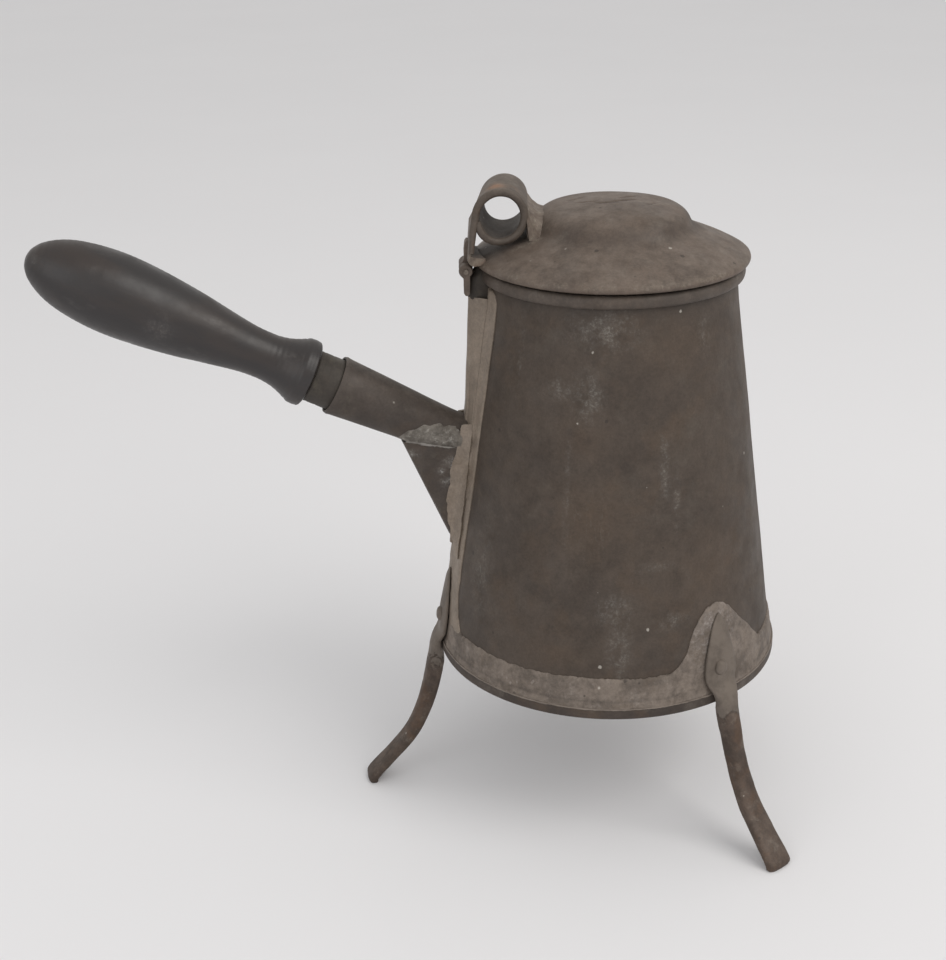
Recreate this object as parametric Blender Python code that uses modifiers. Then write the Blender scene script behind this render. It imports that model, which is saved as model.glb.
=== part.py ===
"""Side-handled tinned sheet-iron pot with a hinged lid, on three forged legs.

Lengths are in millimetres and are turned into metres where meshes are made.
The part stands on z = 0, its handle runs out along -X, and a place on it is
given as rho (distance from the pot's axis), y and z.
"""
import math

import bmesh
import bpy
from mathutils import Matrix, Vector

MM = 0.001
GAP = 0.3
ROUND_STEPS = 48
HANDLE_STEPS = 28

# Vessel.
WALL_BOTTOM_Z = 60.0
WALL_BOTTOM_R = 64.4
WALL_TOP_Z = 203.6
WALL_TOP_R = 45.05
SHEET = 0.8
WALL_SLOPE = (WALL_BOTTOM_R - WALL_TOP_R) / (WALL_TOP_Z - WALL_BOTTOM_Z)
WALL_TILT = math.atan(WALL_SLOPE)
BASE_R = 65.5
BASE_UNDERSIDE_Z = 57.6
BASE_LAP_TOP_Z = 62.0
BEAD_R = 46.0
BEAD_Z = 206.4
BEAD_HALF_WIDTH = 1.75
BEAD_HALF_HEIGHT = 2.45
RIM_WIRE_R = 0.8
BAND_TOP_Z = 72.6
SOLDER = 0.5

# Back strap under the hinge.
SPINE_BOTTOM_Z = 125.0
SPINE_TOP_Z = 199.2
SPINE_CROWN = 3.6
SPINE_FOOT = 7.8

# Handle, measured along its own axis from the root.
ROOT_RHO = 54.63
ROOT_Z = 144.4
HANDLE_RISE = math.radians(27.42)
SOCKET_MOUTH_S = 52.4
FERRULE_START_S = 44.0
FERRULE_END_S = 61.5
FERRULE_R = 9.47
TENON_R = 8.4
TENON_START_S = 40.0
TIP_S = 166.8

# Legs.
# Angle about the pot's axis and sideways lean of each leg's shoulder.
LEGS = {"leg_handle_side": (180.0, 0.0), "leg_front_side": (-60.0, -2.7),
        "leg_far_side": (60.0, 2.7)}
PALM_TIP_Z = 91.5
RIVET_Z = 72.0
RIVET_R = 2.4

# Lid, hinge and thumb loop.
LID_TOP_Z = 231.4
HINGE_RHO = 53.9
HINGE_Z = 209.3
PIN_R = 0.9
KNUCKLE_MID_R = 1.72
KNUCKLE_SHEET = 0.86
LID_KNUCKLE_HALF = 2.4
BODY_KNUCKLE_INNER = 2.7
BODY_KNUCKLE_OUTER = 7.0
LOOP_FRONT_Y = -11.0
LOOP_BACK_Y = 11.0
LOOP_LIP_R = 1.45
LOOP_END = 343.0
LOOP_FRONT = (41.7, 228.6, 10.0)
LOOP_BACK = (39.8, 230.7, 8.8)
# The hinge and the loop stand a little askew: rho shrinks by this much for each unit of y.
HINGE_SKEW = 0.13


def wall_r(z):
    """Outer radius of the sheet wall at a height."""
    return WALL_BOTTOM_R - WALL_SLOPE * (z - WALL_BOTTOM_Z)


def interpolate(table, value):
    """Linear reading of a short (position, size) table."""
    if value <= table[0][0]:
        return table[0][1]
    for (low, at_low), (high, at_high) in zip(table, table[1:]):
        if value <= high:
            return at_low + (at_high - at_low) * (value - low) / (high - low)
    return table[-1][1]


def grip_outline():
    """Turned outline of the grip as (distance along the handle, radius)."""
    return [(62.0, 11.4), (62.8, 12.2), (65.0, 12.3), (66.8, 12.0), (68.4, 11.2), (70.4, 10.3),
            (73.2, 9.3), (76.0, 8.75), (79.5, 8.5), (84.5, 8.65), (90.0, 9.3), (97.7, 10.6), (105.4, 11.9),
            (113.2, 12.95), (121.0, 13.8), (128.6, 14.35), (135.0, 14.5), (141.0, 14.2),
            (147.0, 13.4), (152.5, 12.3), (157.0, 10.8), (161.0, 8.7), (164.2, 6.2), (166.2, 3.2)]


def grip_reach():
    """Greatest distance of the grip from the pot's axis."""
    return max(ROOT_RHO + s * math.cos(HANDLE_RISE) + r * math.sin(HANDLE_RISE)
               for s, r in grip_outline())


AXIS_X = (grip_reach() - BASE_R) / 2


def place(rho, y, z):
    """World point in metres of a place on the handle's side of the pot."""
    return Vector(((AXIS_X - rho) * MM, y * MM, z * MM))


def place_askew(rho, y, z):
    """World point on the hinge and loop, whose rho is given at the loop's front edge."""
    return place(rho - HINGE_SKEW * (y - LOOP_FRONT_Y), y, z)


def around(angle_deg, rho, tangent, z):
    """World point in metres at an angle about the pot's axis; 180 degrees is the handle."""
    angle = math.radians(angle_deg)
    x = rho * math.cos(angle) - tangent * math.sin(angle)
    y = rho * math.sin(angle) + tangent * math.cos(angle)
    return Vector(((AXIS_X + x) * MM, y * MM, z * MM))


def handle_point(s, drop=0.0, y=0.0):
    """World point beside the handle axis, drop being measured square to it and downwards."""
    rho = ROOT_RHO + s * math.cos(HANDLE_RISE) + drop * math.sin(HANDLE_RISE)
    z = ROOT_Z + s * math.sin(HANDLE_RISE) - drop * math.cos(HANDLE_RISE)
    return place(rho, y, z)


def handle_matrix():
    """Frame whose local Z runs out along the handle from its root."""
    direction = Vector((-math.cos(HANDLE_RISE), 0.0, math.sin(HANDLE_RISE)))
    turn = Vector((0.0, 0.0, 1.0)).rotation_difference(direction).to_matrix().to_4x4()
    return Matrix.Translation(place(ROOT_RHO, 0.0, ROOT_Z)) @ turn


def pot_matrix():
    """Frame on the pot's axis at ground level."""
    return Matrix.Translation(Vector((AXIS_X * MM, 0.0, 0.0)))


def clear_scene():
    """Remove whatever the start-up file holds."""
    for item in list(bpy.data.objects):
        bpy.data.objects.remove(item, do_unlink=True)


def new_collection(name):
    """Make a collection in the scene."""
    collection = bpy.data.collections.new(name)
    bpy.context.scene.collection.children.link(collection)
    return collection


def principled(name, color, roughness, metallic):
    """Make a plain Principled material."""
    material = bpy.data.materials.new(name)
    material.use_nodes = True
    shader = material.node_tree.nodes["Principled BSDF"]
    shader.inputs["Base Color"].default_value = (*color, 1.0)
    shader.inputs["Roughness"].default_value = roughness
    shader.inputs["Metallic"].default_value = metallic
    material.diffuse_color = (*color, 1.0)
    return material


def tinned_sheet(name):
    """Old tinned sheet iron, browned."""
    return principled(name, (0.105, 0.085, 0.072), 0.55, 0.6)


def dull_solder(name):
    """Dull grey tin-lead solder."""
    return principled(name, (0.24, 0.215, 0.195), 0.6, 0.5)


def forged_iron(name):
    """Dark forged iron."""
    return principled(name, (0.07, 0.052, 0.042), 0.6, 0.55)


def dark_wood(name):
    """Turned wood with a nearly black finish."""
    return principled(name, (0.028, 0.024, 0.024), 0.42, 0.0)


def add_object(name, data, material, collection, matrix=None):
    """Link a new object with one material."""
    item = bpy.data.objects.new(name, data)
    data.materials.append(material)
    collection.objects.link(item)
    if matrix is not None:
        item.matrix_world = matrix
    return item


def add_turned(name, outline, closed, material, collection, matrix, steps=ROUND_STEPS):
    """Turn an outline of (radius, height) about local Z; its outer side runs downwards."""
    mesh = bpy.data.meshes.new(name)
    points = [(r * MM, 0.0, z * MM) for r, z in outline]
    edges = [(i, i + 1) for i in range(len(points) - 1)]
    if closed:
        edges.append((len(points) - 1, 0))
    mesh.from_pydata(points, edges, [])
    item = add_object(name, mesh, material, collection, matrix)
    screw = item.modifiers.new("turn", "SCREW")
    screw.axis = "Z"
    screw.angle = 2 * math.pi
    screw.steps = steps
    screw.render_steps = steps
    screw.use_merge_vertices = True
    screw.merge_threshold = 0.00001
    screw.use_smooth_shade = True
    return item


def add_mesh(name, points, faces, material, collection):
    """Mesh from points already in metres."""
    mesh = bpy.data.meshes.new(name)
    mesh.from_pydata([tuple(p) for p in points], [], faces)
    return add_object(name, mesh, material, collection)


def add_sheet(name, rows, thickness, material, collection, skip=()):
    """Open grid of points, thickened about its middle surface; skip leaves grid cells out."""
    width = len(rows[0])
    points = [p for row in rows for p in row]
    faces = []
    for i in range(len(rows) - 1):
        for j in range(width - 1):
            if (i, j) not in skip:
                faces.append((i * width + j, i * width + j + 1,
                              (i + 1) * width + j + 1, (i + 1) * width + j))
    item = add_mesh(name, points, faces, material, collection)
    thicken(item, thickness)
    return item


def thicken(item, thickness):
    """Give an open surface its sheet thickness, half to each side."""
    solid = item.modifiers.new("sheet", "SOLIDIFY")
    solid.thickness = thickness * MM
    solid.offset = 0.0
    solid.use_even_offset = True


def add_loft(name, sections, material, collection):
    """Closed loft through equal-length rings of points, with flat ends."""
    count = len(sections[0])
    points = [p for ring in sections for p in ring]
    faces = [tuple(range(count)), tuple(reversed(range(len(points) - count, len(points))))]
    for i in range(len(sections) - 1):
        for j in range(count):
            k = (j + 1) % count
            faces.append((i * count + k, i * count + j,
                          (i + 1) * count + j, (i + 1) * count + k))
    item = add_mesh(name, points, faces, material, collection)
    correct_normals(item.data)
    return item


def correct_normals(mesh):
    """Point every face of a closed mesh outwards."""
    work = bmesh.new()
    work.from_mesh(mesh)
    bmesh.ops.recalc_face_normals(work, faces=work.faces)
    work.to_mesh(mesh)
    work.free()


def add_rod(name, path, radius, material, collection, sides=2):
    """Round rod along an open path, with filled ends."""
    curve = bpy.data.curves.new(name, "CURVE")
    curve.dimensions = "3D"
    curve.bevel_depth = radius * MM
    curve.bevel_resolution = sides
    curve.use_fill_caps = True
    spline = curve.splines.new("POLY")
    spline.points.add(len(path) - 1)
    for point, place_m in zip(spline.points, path):
        point.co = (*place_m, 1.0)
    return add_object(name, curve, material, collection)


def add_cutter(name, size, matrix, collection):
    """Box used only to cut other parts."""
    mesh = bpy.data.meshes.new(name)
    work = bmesh.new()
    bmesh.ops.create_cube(work, size=1.0)
    bmesh.ops.scale(work, vec=Vector(size) * MM, verts=work.verts)
    work.to_mesh(mesh)
    work.free()
    cutter = bpy.data.objects.new(name, mesh)
    collection.objects.link(cutter)
    cutter.matrix_world = matrix
    cutter.hide_render = True
    cutter.display_type = "WIRE"
    return cutter


def cut(item, cutter):
    """Take a cutter's volume away from a part."""
    boolean = item.modifiers.new("cut", "BOOLEAN")
    boolean.operation = "DIFFERENCE"
    boolean.object = cutter
    boolean.solver = "EXACT"


def make_body_wall(parts):
    """Tapered sheet wall."""
    outline = [(WALL_TOP_R, WALL_TOP_Z), (WALL_BOTTOM_R, WALL_BOTTOM_Z),
               (WALL_BOTTOM_R - SHEET, WALL_BOTTOM_Z), (WALL_TOP_R - SHEET, WALL_TOP_Z)]
    add_turned("body_wall", outline, True, tinned_sheet("wall_sheet"), parts, pot_matrix())


def bead_section(inset, start_deg, end_deg, count):
    """Part of the rim bead's oval section, taken clockwise."""
    points = []
    for i in range(count):
        angle = math.radians(start_deg + (end_deg - start_deg) * i / (count - 1))
        points.append((BEAD_R + (BEAD_HALF_WIDTH - inset) * math.cos(angle),
                       BEAD_Z + (BEAD_HALF_HEIGHT - inset) * math.sin(angle)))
    return points


def make_rim(parts):
    """Rolled rim bead, open along a narrow inner slit, with its wire inside."""
    sheet = 0.55
    outside = bead_section(0.0, 150.0, -160.0, 15)
    inside = bead_section(sheet, -160.0, 150.0, 15)
    add_turned("rim_roll", outside + inside, True, tinned_sheet("rim_sheet"), parts, pot_matrix())
    wire = [(BEAD_R + RIM_WIRE_R * math.cos(-i * math.pi / 3),
             BEAD_Z + RIM_WIRE_R * math.sin(-i * math.pi / 3)) for i in range(6)]
    add_turned("rim_wire", wire, True, forged_iron("rim_wire_iron"), parts, pot_matrix())


def make_base_plate(parts):
    """Flat bottom disc with an edge turned up around the wall."""
    lap_in = WALL_BOTTOM_R + GAP
    floor = BASE_UNDERSIDE_Z + SHEET
    outline = [(0.0, floor), (WALL_BOTTOM_R - 4.0, floor), (lap_in, floor + 0.4),
               (lap_in, BASE_LAP_TOP_Z), (lap_in + 0.5, BASE_LAP_TOP_Z),
               (BASE_R, BASE_LAP_TOP_Z - 0.8), (BASE_R, BASE_UNDERSIDE_Z + 0.7),
               (BASE_R - 0.7, BASE_UNDERSIDE_Z), (0.0, BASE_UNDERSIDE_Z)]
    add_turned("base_plate", outline, False, tinned_sheet("base_sheet"), parts, pot_matrix())


def make_solder_band(parts):
    """Band of solder around the foot of the wall."""
    low = BASE_LAP_TOP_Z + GAP + 0.1
    outline = [(wall_r(BAND_TOP_Z) + GAP + SOLDER, BAND_TOP_Z), (wall_r(low) + GAP + SOLDER, low),
               (wall_r(low) + GAP, low), (wall_r(BAND_TOP_Z) + GAP, BAND_TOP_Z)]
    add_turned("solder_band", outline, True, dull_solder("band_solder"), parts, pot_matrix())


def wall_patch(name, angle_deg, half_widths, columns, material, parts):
    """Thin patch on the wall; half_widths lists (z, reach one way, reach the other way)."""
    rows = []
    for z, left, right in half_widths:
        rho = wall_r(z) + GAP + SOLDER / 2
        row = []
        for j in range(columns + 1):
            tangent = -left + (left + right) * j / columns
            row.append(around(angle_deg + math.degrees(tangent / rho), rho, 0.0, z))
        rows.append(row)
    add_sheet(name, rows, SOLDER, material, parts)


def make_solder_patches(parts):
    """Solder spread around the palm of each leg, and up the seam on the handle's side."""
    low = BAND_TOP_Z + GAP
    wall_patch("leg_solder_front", -60.0,
               [(low, 22.0, 22.5), (76.0, 17.5, 18.0), (82.0, 14.8, 14.0), (88.0, 12.2, 9.0),
                (93.0, 8.4, 4.4), (95.0, 5.0, 1.6)], 8, dull_solder("patch_front"), parts)
    wall_patch("leg_solder_far", 60.0,
               [(low, 19.5, 21.5), (76.0, 14.5, 17.0), (82.0, 11.6, 14.4), (88.0, 8.2, 11.4),
                (93.0, 4.6, 7.8), (95.0, 2.0, 4.8)], 8, dull_solder("patch_far"), parts)
    wall_patch("leg_solder_handle", 180.0,
               [(low, 18.0, 18.0), (78.0, 14.0, 14.0), (85.0, 12.6, 12.6), (96.8, 11.6, 11.6)],
               8, dull_solder("patch_handle"), parts)
    wall_patch("seam_solder", 180.0,
               [(97.2, 11.5, 11.5), (110.0, 9.7, 9.7), (124.2, 8.2, 8.2)],
               6, dull_solder("seam_grey"), parts)


def spine_rho(z):
    """Distance of the back strap's outer face from the pot's axis."""
    return interpolate([(SPINE_BOTTOM_Z, 57.2), (130.0, 57.0), (144.0, 55.5), (159.0, 53.9),
                        (170.5, 53.5), (180.0, 53.0), (190.0, 52.7), (SPINE_TOP_Z, 52.3)], z)


def make_back_spine(parts):
    """Folded channel strap that carries the hinge, open towards the wall."""
    rows = []
    levels = 9
    for i in range(levels):
        z = SPINE_BOTTOM_Z + (SPINE_TOP_Z - SPINE_BOTTOM_Z) * i / (levels - 1)
        crown = spine_rho(z) - SHEET / 2
        foot = wall_r(z) + 0.7 - SHEET / 2 + 0.35
        askew = HINGE_SKEW * SPINE_CROWN * (z - SPINE_BOTTOM_Z) / (SPINE_TOP_Z - SPINE_BOTTOM_Z)
        rows.append([place(foot, -SPINE_FOOT, z), place(crown, -SPINE_CROWN, z),
                     place(crown - 2 * askew, SPINE_CROWN, z), place(foot, SPINE_FOOT, z)])
    add_sheet("back_spine", rows, SHEET, tinned_sheet("spine_sheet"), parts)


def root_cutter(cutters):
    """Box behind the sloping plane on which the handle's root stands."""
    lean = math.atan(0.106)
    size = (60.0, 60.0, 80.0)
    face_rho = spine_rho(ROOT_Z) + GAP + 0.1
    shift = Matrix.Translation(place(face_rho, 0.0, ROOT_Z))
    turn = Matrix.Rotation(lean, 4, "Y")
    back = Matrix.Translation(Vector((size[0] * MM / 2, 0.0, 0.0)))
    return add_cutter("root_cutter", size, shift @ turn @ back, cutters)


def socket_r(s):
    """Outer radius of the handle socket."""
    return interpolate([(-10.0, 7.4), (0.0, 7.84), (27.5, 9.4), (47.0, 10.55), (52.4, 10.85)], s)


def make_socket(parts, cutter):
    """Tapered sheet socket, standing against the back strap."""
    stations = [SOCKET_MOUTH_S, 47.0, 27.5, 0.0, -8.0]
    outer = [(socket_r(s), s) for s in stations]
    inner = [(socket_r(s) - 0.85, s) for s in reversed(stations)]
    item = add_turned("handle_socket", outer + inner, True, tinned_sheet("socket_sheet"),
                      parts, handle_matrix(), HANDLE_STEPS)
    cut(item, cutter)


def make_socket_solder(parts, cutters, cutter):
    """Fillet of solder around the socket's root, left open above the brace."""
    outer = [(socket_r(8.0) + 0.75, 8.0), (socket_r(4.0) + 1.3, 4.0),
             (socket_r(0.0) + 2.1, 0.0), (socket_r(-8.0) + 3.2, -8.0)]
    inner = [(socket_r(-8.0) + GAP, -8.0), (socket_r(8.0) + GAP, 8.0)]
    item = add_turned("socket_solder", outer + inner, True, dull_solder("root_solder"),
                      parts, handle_matrix(), HANDLE_STEPS)
    cut(item, cutter)
    notch_size = (40.0, 16.0, 16.0)
    notch = add_cutter("brace_notch", notch_size, Matrix.Translation(handle_point(4.0, 12.0)),
                       cutters)
    cut(item, notch)


def make_ferrule(parts):
    """Plain ferrule between the socket and the grip."""
    wall = 0.7
    outline = [(FERRULE_R, FERRULE_END_S), (FERRULE_R, FERRULE_START_S),
               (FERRULE_R - wall, FERRULE_START_S), (FERRULE_R - wall, FERRULE_END_S)]
    add_turned("handle_ferrule", outline, True, forged_iron("ferrule_iron"), parts,
               handle_matrix(), HANDLE_STEPS)


def make_grip(parts):
    """Turned wooden grip with the tenon that enters the ferrule."""
    outline = [(0.0, TIP_S)]
    outline += [(r, s) for s, r in reversed(grip_outline())]
    outline += [(TENON_R, 62.0), (TENON_R, TENON_START_S), (0.0, TENON_START_S)]
    add_turned("grip", outline, False, dark_wood("grip_wood"), parts, handle_matrix(),
               HANDLE_STEPS)


def make_brace(parts):
    """Folded triangular brace under the socket: two cheeks joined by a rounded nose."""
    half = 4.1
    bulge = 1.2
    tip = (60.9, 106.6)
    top = (77.4, 145.3)
    back = (57.2, 135.2)
    run = Vector((top[0] - tip[0], top[1] - tip[1])).normalized()
    square = Vector((run.y, -run.x))
    turns = 4
    nose = []
    for end in (tip, top):
        ring = []
        for i in range(turns + 1):
            angle = math.pi * i / turns
            y = -half * math.cos(angle)
            out = bulge * (math.sin(angle) - 1.0)
            ring.append(place(end[0] + square.x * out, y, end[1] + square.y * out))
        nose.append(ring)
    points = nose[0] + nose[1] + [place(back[0], -half, back[1]), place(back[0], half, back[1])]
    row = turns + 1
    faces = [(i, i + 1, row + i + 1, row + i) for i in range(turns)]
    faces.append((2 * row, 0, row))
    faces.append((turns, 2 * row + 1, row + turns))
    item = add_mesh("handle_brace", points, faces, tinned_sheet("brace_sheet"), parts)
    thicken(item, SHEET)


def make_brace_solder(parts):
    """Bead of solder on each side of the brace, under the socket and on down the wall."""
    bead = 0.95
    beside = 4.1 + SHEET / 2 + GAP + bead + 0.1
    for name, side in (("brace_solder_near", -1.0), ("brace_solder_far", 1.0)):
        path = []
        for s in (21.0, 16.0, 11.0, 6.5):
            reach = socket_r(s) + GAP + bead + 0.25
            path.append(handle_point(s, math.sqrt(reach ** 2 - beside ** 2), side * beside))
        for rho, z in ((58.6, 129.0), (59.1, 119.0), (60.1, 109.0)):
            path.append(place(rho, side * beside, z))
        add_rod(name, path, bead, dull_solder(name + "_grey"), parts)


def leg_stations():
    """Leg from palm tip to sole: rho, z, width, thickness and the slope of its thickness."""
    stations = []
    for z, width, thick in ((PALM_TIP_Z, 1.8, 0.9), (86.5, 6.6, 1.2), (80.0, 10.8, 1.5),
                            (74.5, 13.8, 1.9), (69.0, 14.8, 2.1), (65.6, 13.4, 2.1)):
        rho = wall_r(z) + GAP + SOLDER + GAP + thick / 2
        stations.append((rho, z, width, thick, WALL_TILT))
    for rho, z, width, thick, slope_deg in (
            (67.0, 62.4, 9.8, 2.3, 4.0), (67.6, 58.8, 7.2, 3.5, 4.0), (67.6, 55.0, 6.4, 4.7, 6.0),
            (68.3, 50.0, 6.2, 5.3, 9.0), (70.5, 40.0, 6.2, 5.3, 15.0), (73.7, 30.0, 7.0, 5.0, 21.0),
            (78.8, 20.0, 8.2, 4.4, 33.0), (86.8, 10.6, 9.8, 3.6, 40.0),
            (92.6, 4.4, 10.9, 3.5, 38.0), (95.0, 1.5, 11.1, 4.2, 18.0),
            (94.8, 0.0, 10.5, 3.6, 0.0)):
        stations.append((rho, z, width, thick, math.radians(slope_deg)))
    return stations


def leg_lean(lean, z):
    """Sideways shift of a leg at a height: greatest at the shoulder, nothing at the foot."""
    return lean * interpolate([(0.0, 0.0), (25.0, 0.25), (50.0, 0.75), (66.0, 1.0),
                               (PALM_TIP_Z, 0.6)], z)


def leg_section(angle_deg, lean, station):
    """One ten-cornered ring of a leg, bent to the wall's roundness."""
    rho, z, width, thick, slope = station
    bevel = 0.28 * min(width, thick)
    u = width / 2
    v = thick / 2
    corners = [(-u + bevel, -v), (0.0, -v), (u - bevel, -v), (u, -v + bevel), (u, v - bevel),
               (u - bevel, v), (0.0, v), (-u + bevel, v), (-u, v - bevel), (-u, -v + bevel)]
    ring = []
    for across, out in corners:
        tangent = across + leg_lean(lean, z)
        reach = rho + out * math.cos(slope) - tangent ** 2 / (2 * rho)
        ring.append(around(angle_deg, reach, tangent, z + out * math.sin(slope)))
    return ring


def make_legs(parts):
    """Three forged legs, each with a leaf-shaped palm against the wall."""
    for name, (angle, lean) in LEGS.items():
        sections = [leg_section(angle, lean, station) for station in leg_stations()]
        add_loft(name, sections, forged_iron(name + "_iron"), parts)


def make_leg_rivets(parts):
    """One domed rivet head on each palm."""
    palm_thick = 2.0
    face = wall_r(RIVET_Z) + GAP + SOLDER + GAP + palm_thick + GAP + 0.15
    for leg, (angle, lean) in LEGS.items():
        beside = math.degrees(1.3 * lean / face)
        name = leg.replace("leg", "rivet", 1)
        outward = Matrix.Rotation(math.radians(angle + beside), 4, "Z")
        tilt = Matrix.Rotation(math.pi / 2 - WALL_TILT, 4, "Y")
        seat = Matrix.Translation(around(angle + beside, face, 0.0,
                                         RIVET_Z + palm_thick * WALL_SLOPE))
        dome = bmesh.new()
        bmesh.ops.create_uvsphere(dome, u_segments=12, v_segments=8, radius=RIVET_R * MM)
        bmesh.ops.bisect_plane(dome, geom=dome.verts[:] + dome.edges[:] + dome.faces[:],
                               plane_co=(0.0, 0.0, 0.0), plane_no=(0.0, 0.0, 1.0),
                               clear_inner=True)
        bmesh.ops.holes_fill(dome, edges=dome.edges)
        bmesh.ops.scale(dome, vec=Vector((1.0, 1.0, 0.62)), verts=dome.verts)
        bmesh.ops.recalc_face_normals(dome, faces=dome.faces)
        mesh = bpy.data.meshes.new(name)
        dome.to_mesh(mesh)
        dome.free()
        add_object(name, mesh, forged_iron(name + "_iron"), parts, seat @ outward @ tilt)


def knuckle_arc(start_deg, end_deg, count):
    """Middle line of a hinge knuckle as (rho, z), by angle from the outward direction."""
    points = []
    for i in range(count):
        angle = math.radians(start_deg + (end_deg - start_deg) * i / (count - 1))
        points.append((HINGE_RHO + KNUCKLE_MID_R * math.cos(angle),
                       HINGE_Z + KNUCKLE_MID_R * math.sin(angle)))
    return points


def make_body_hinge(parts):
    """Hinge plate on the back strap, with a knuckle rolled at each end."""
    leaf_rho = 52.85
    line = [(leaf_rho, 199.6), (leaf_rho, 206.2)] + knuckle_arc(-116.0, 205.0, 13)
    sides = [-BODY_KNUCKLE_OUTER, -BODY_KNUCKLE_INNER, BODY_KNUCKLE_INNER, BODY_KNUCKLE_OUTER]
    rows = [[place_askew(rho, y, z) for y in sides] for rho, z in line]
    skip = {(i, 1) for i in range(1, len(line))}
    add_sheet("hinge_plate", rows, KNUCKLE_SHEET, tinned_sheet("hinge_sheet"), parts, skip)


def make_hinge_pin(parts):
    """Pin through all the knuckles."""
    end = BODY_KNUCKLE_OUTER + 0.6
    ends = [place_askew(HINGE_RHO, side * end, HINGE_Z) for side in (-1.0, 1.0)]
    add_rod("hinge_pin", ends, PIN_R, forged_iron("pin_iron"), parts, 3)


def make_lid_leaf(parts):
    """Leaf on the back of the loop's strap, rolled round the pin."""
    leaf_rho = 52.2 + GAP + KNUCKLE_SHEET / 2 + 0.05
    line = [(leaf_rho, 219.0), (leaf_rho, 212.6)] + knuckle_arc(112.0, -205.0, 13)
    rows = [[place_askew(rho, y, z) for y in (-LID_KNUCKLE_HALF, LID_KNUCKLE_HALF)]
            for rho, z in line]
    add_sheet("lid_hinge_leaf", rows, KNUCKLE_SHEET, tinned_sheet("leaf_sheet"), parts)


def offset_outline(points, distance):
    """Outline moved sideways, to the right of its direction of travel."""
    moved = []
    for i, (r, z) in enumerate(points):
        before = points[max(i - 1, 0)]
        after = points[min(i + 1, len(points) - 1)]
        run = Vector((after[0] - before[0], after[1] - before[1])).normalized()
        moved.append((max(r + run.y * distance, 0.0), z - run.x * distance))
    return moved


def make_lid_cover(parts):
    """Sheet lid: raised boss, hollow foot, sloping flange and a rolled edge."""
    top = [(0.0, LID_TOP_Z), (8.0, 231.1), (16.5, 230.1), (22.0, 228.9), (25.0, 227.4),
           (26.9, 225.6), (28.1, 223.4), (29.3, 221.9), (31.4, 220.6), (34.7, 219.1),
           (39.0, 217.4), (43.0, 215.7), (46.4, 213.9), (48.4, 212.7)]
    under = offset_outline(top[:-1], SHEET)
    edge = [(49.2, 211.7), (49.2, 210.9), (48.7, 210.1), (47.8, 209.75), (46.9, 210.1),
            (46.5, 211.0), (46.7, 212.6)]
    outline = top + edge + list(reversed(under))
    outline[-1] = (0.0, LID_TOP_Z - SHEET)
    add_turned("lid_cover", outline, False, tinned_sheet("lid_sheet"), parts, pot_matrix())


def make_lid_collar(parts):
    """Shallow ring under the lid that drops inside the rim."""
    outer = 43.6
    outline = [(outer, 213.9), (outer, 205.0), (outer - SHEET, 205.0), (outer - SHEET, 214.1)]
    add_turned("lid_collar", outline, True, tinned_sheet("collar_sheet"), parts, pot_matrix())


def loop_line(share, inset, end_deg):
    """Middle line of the loop's strip as (rho, z), from the strap's foot round the tube."""
    centre_rho = LOOP_FRONT[0] + (LOOP_BACK[0] - LOOP_FRONT[0]) * share
    centre_z = LOOP_FRONT[1] + (LOOP_BACK[1] - LOOP_FRONT[1]) * share
    radius = LOOP_FRONT[2] + (LOOP_BACK[2] - LOOP_FRONT[2]) * share - inset
    strap_rho = 52.2 - inset
    start = 4.0
    line = [(strap_rho, 213.4), (strap_rho, 219.0)]
    turns = 22
    for i in range(turns + 1):
        angle = math.radians(start + (end_deg - start) * i / turns)
        line.append((centre_rho + radius * math.cos(angle), centre_z + radius * math.sin(angle)))
    return line


def make_thumb_loop(parts):
    """Strip rolled into a tube for the thumb, its tail running down as a strap."""
    sheet = 0.9
    columns = 3
    first_y = LOOP_FRONT_Y + 2 * LOOP_LIP_R + GAP
    rows = []
    for j in range(columns + 1):
        y = first_y + (LOOP_BACK_Y - first_y) * j / columns
        share = (y - LOOP_FRONT_Y) / (LOOP_BACK_Y - LOOP_FRONT_Y)
        rows.append([place_askew(rho, y, z) for rho, z in loop_line(share, sheet / 2, LOOP_END)])
    add_sheet("thumb_loop", rows, sheet, tinned_sheet("loop_sheet"), parts)


def make_loop_lip(parts):
    """Thick rolled lip on the loop's front edge."""
    y = LOOP_FRONT_Y + LOOP_LIP_R
    line = [(rho, z) for rho, z in loop_line(0.0, LOOP_LIP_R, LOOP_END)]
    line[0] = (line[0][0], 215.6)
    add_rod("loop_lip", [place_askew(rho, y, z) for rho, z in line], LOOP_LIP_R,
            tinned_sheet("lip_sheet"), parts)


def make_loop_solder(parts):
    """Bead of solder in the corner between the loop and the boss."""
    path = []
    for i in range(9):
        y = -8.0 + 2.0 * i
        path.append(place(math.sqrt(29.9 ** 2 - y ** 2), y, 223.5))
    add_rod("loop_solder", path, 0.6, dull_solder("loop_grey"), parts)


def finish_shading(parts):
    """Shade round pieces smooth and keep their corners sharp."""
    for item in parts.objects:
        if item.type == "MESH" and item.data.polygons:
            item.data.shade_smooth()
            item.data.set_sharp_from_angle(angle=math.radians(35.0))


def main():
    """Build the whole pot."""
    clear_scene()
    parts = new_collection("hearth_pot")
    cutters = new_collection("cutters")
    make_body_wall(parts)
    make_rim(parts)
    make_base_plate(parts)
    make_solder_band(parts)
    make_solder_patches(parts)
    make_back_spine(parts)
    root = root_cutter(cutters)
    make_socket(parts, root)
    make_socket_solder(parts, cutters, root)
    make_ferrule(parts)
    make_grip(parts)
    make_brace(parts)
    make_brace_solder(parts)
    make_legs(parts)
    make_leg_rivets(parts)
    make_body_hinge(parts)
    make_hinge_pin(parts)
    make_lid_leaf(parts)
    make_lid_cover(parts)
    make_lid_collar(parts)
    make_thumb_loop(parts)
    make_loop_lip(parts)
    make_loop_solder(parts)
    finish_shading(parts)


main()
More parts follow.
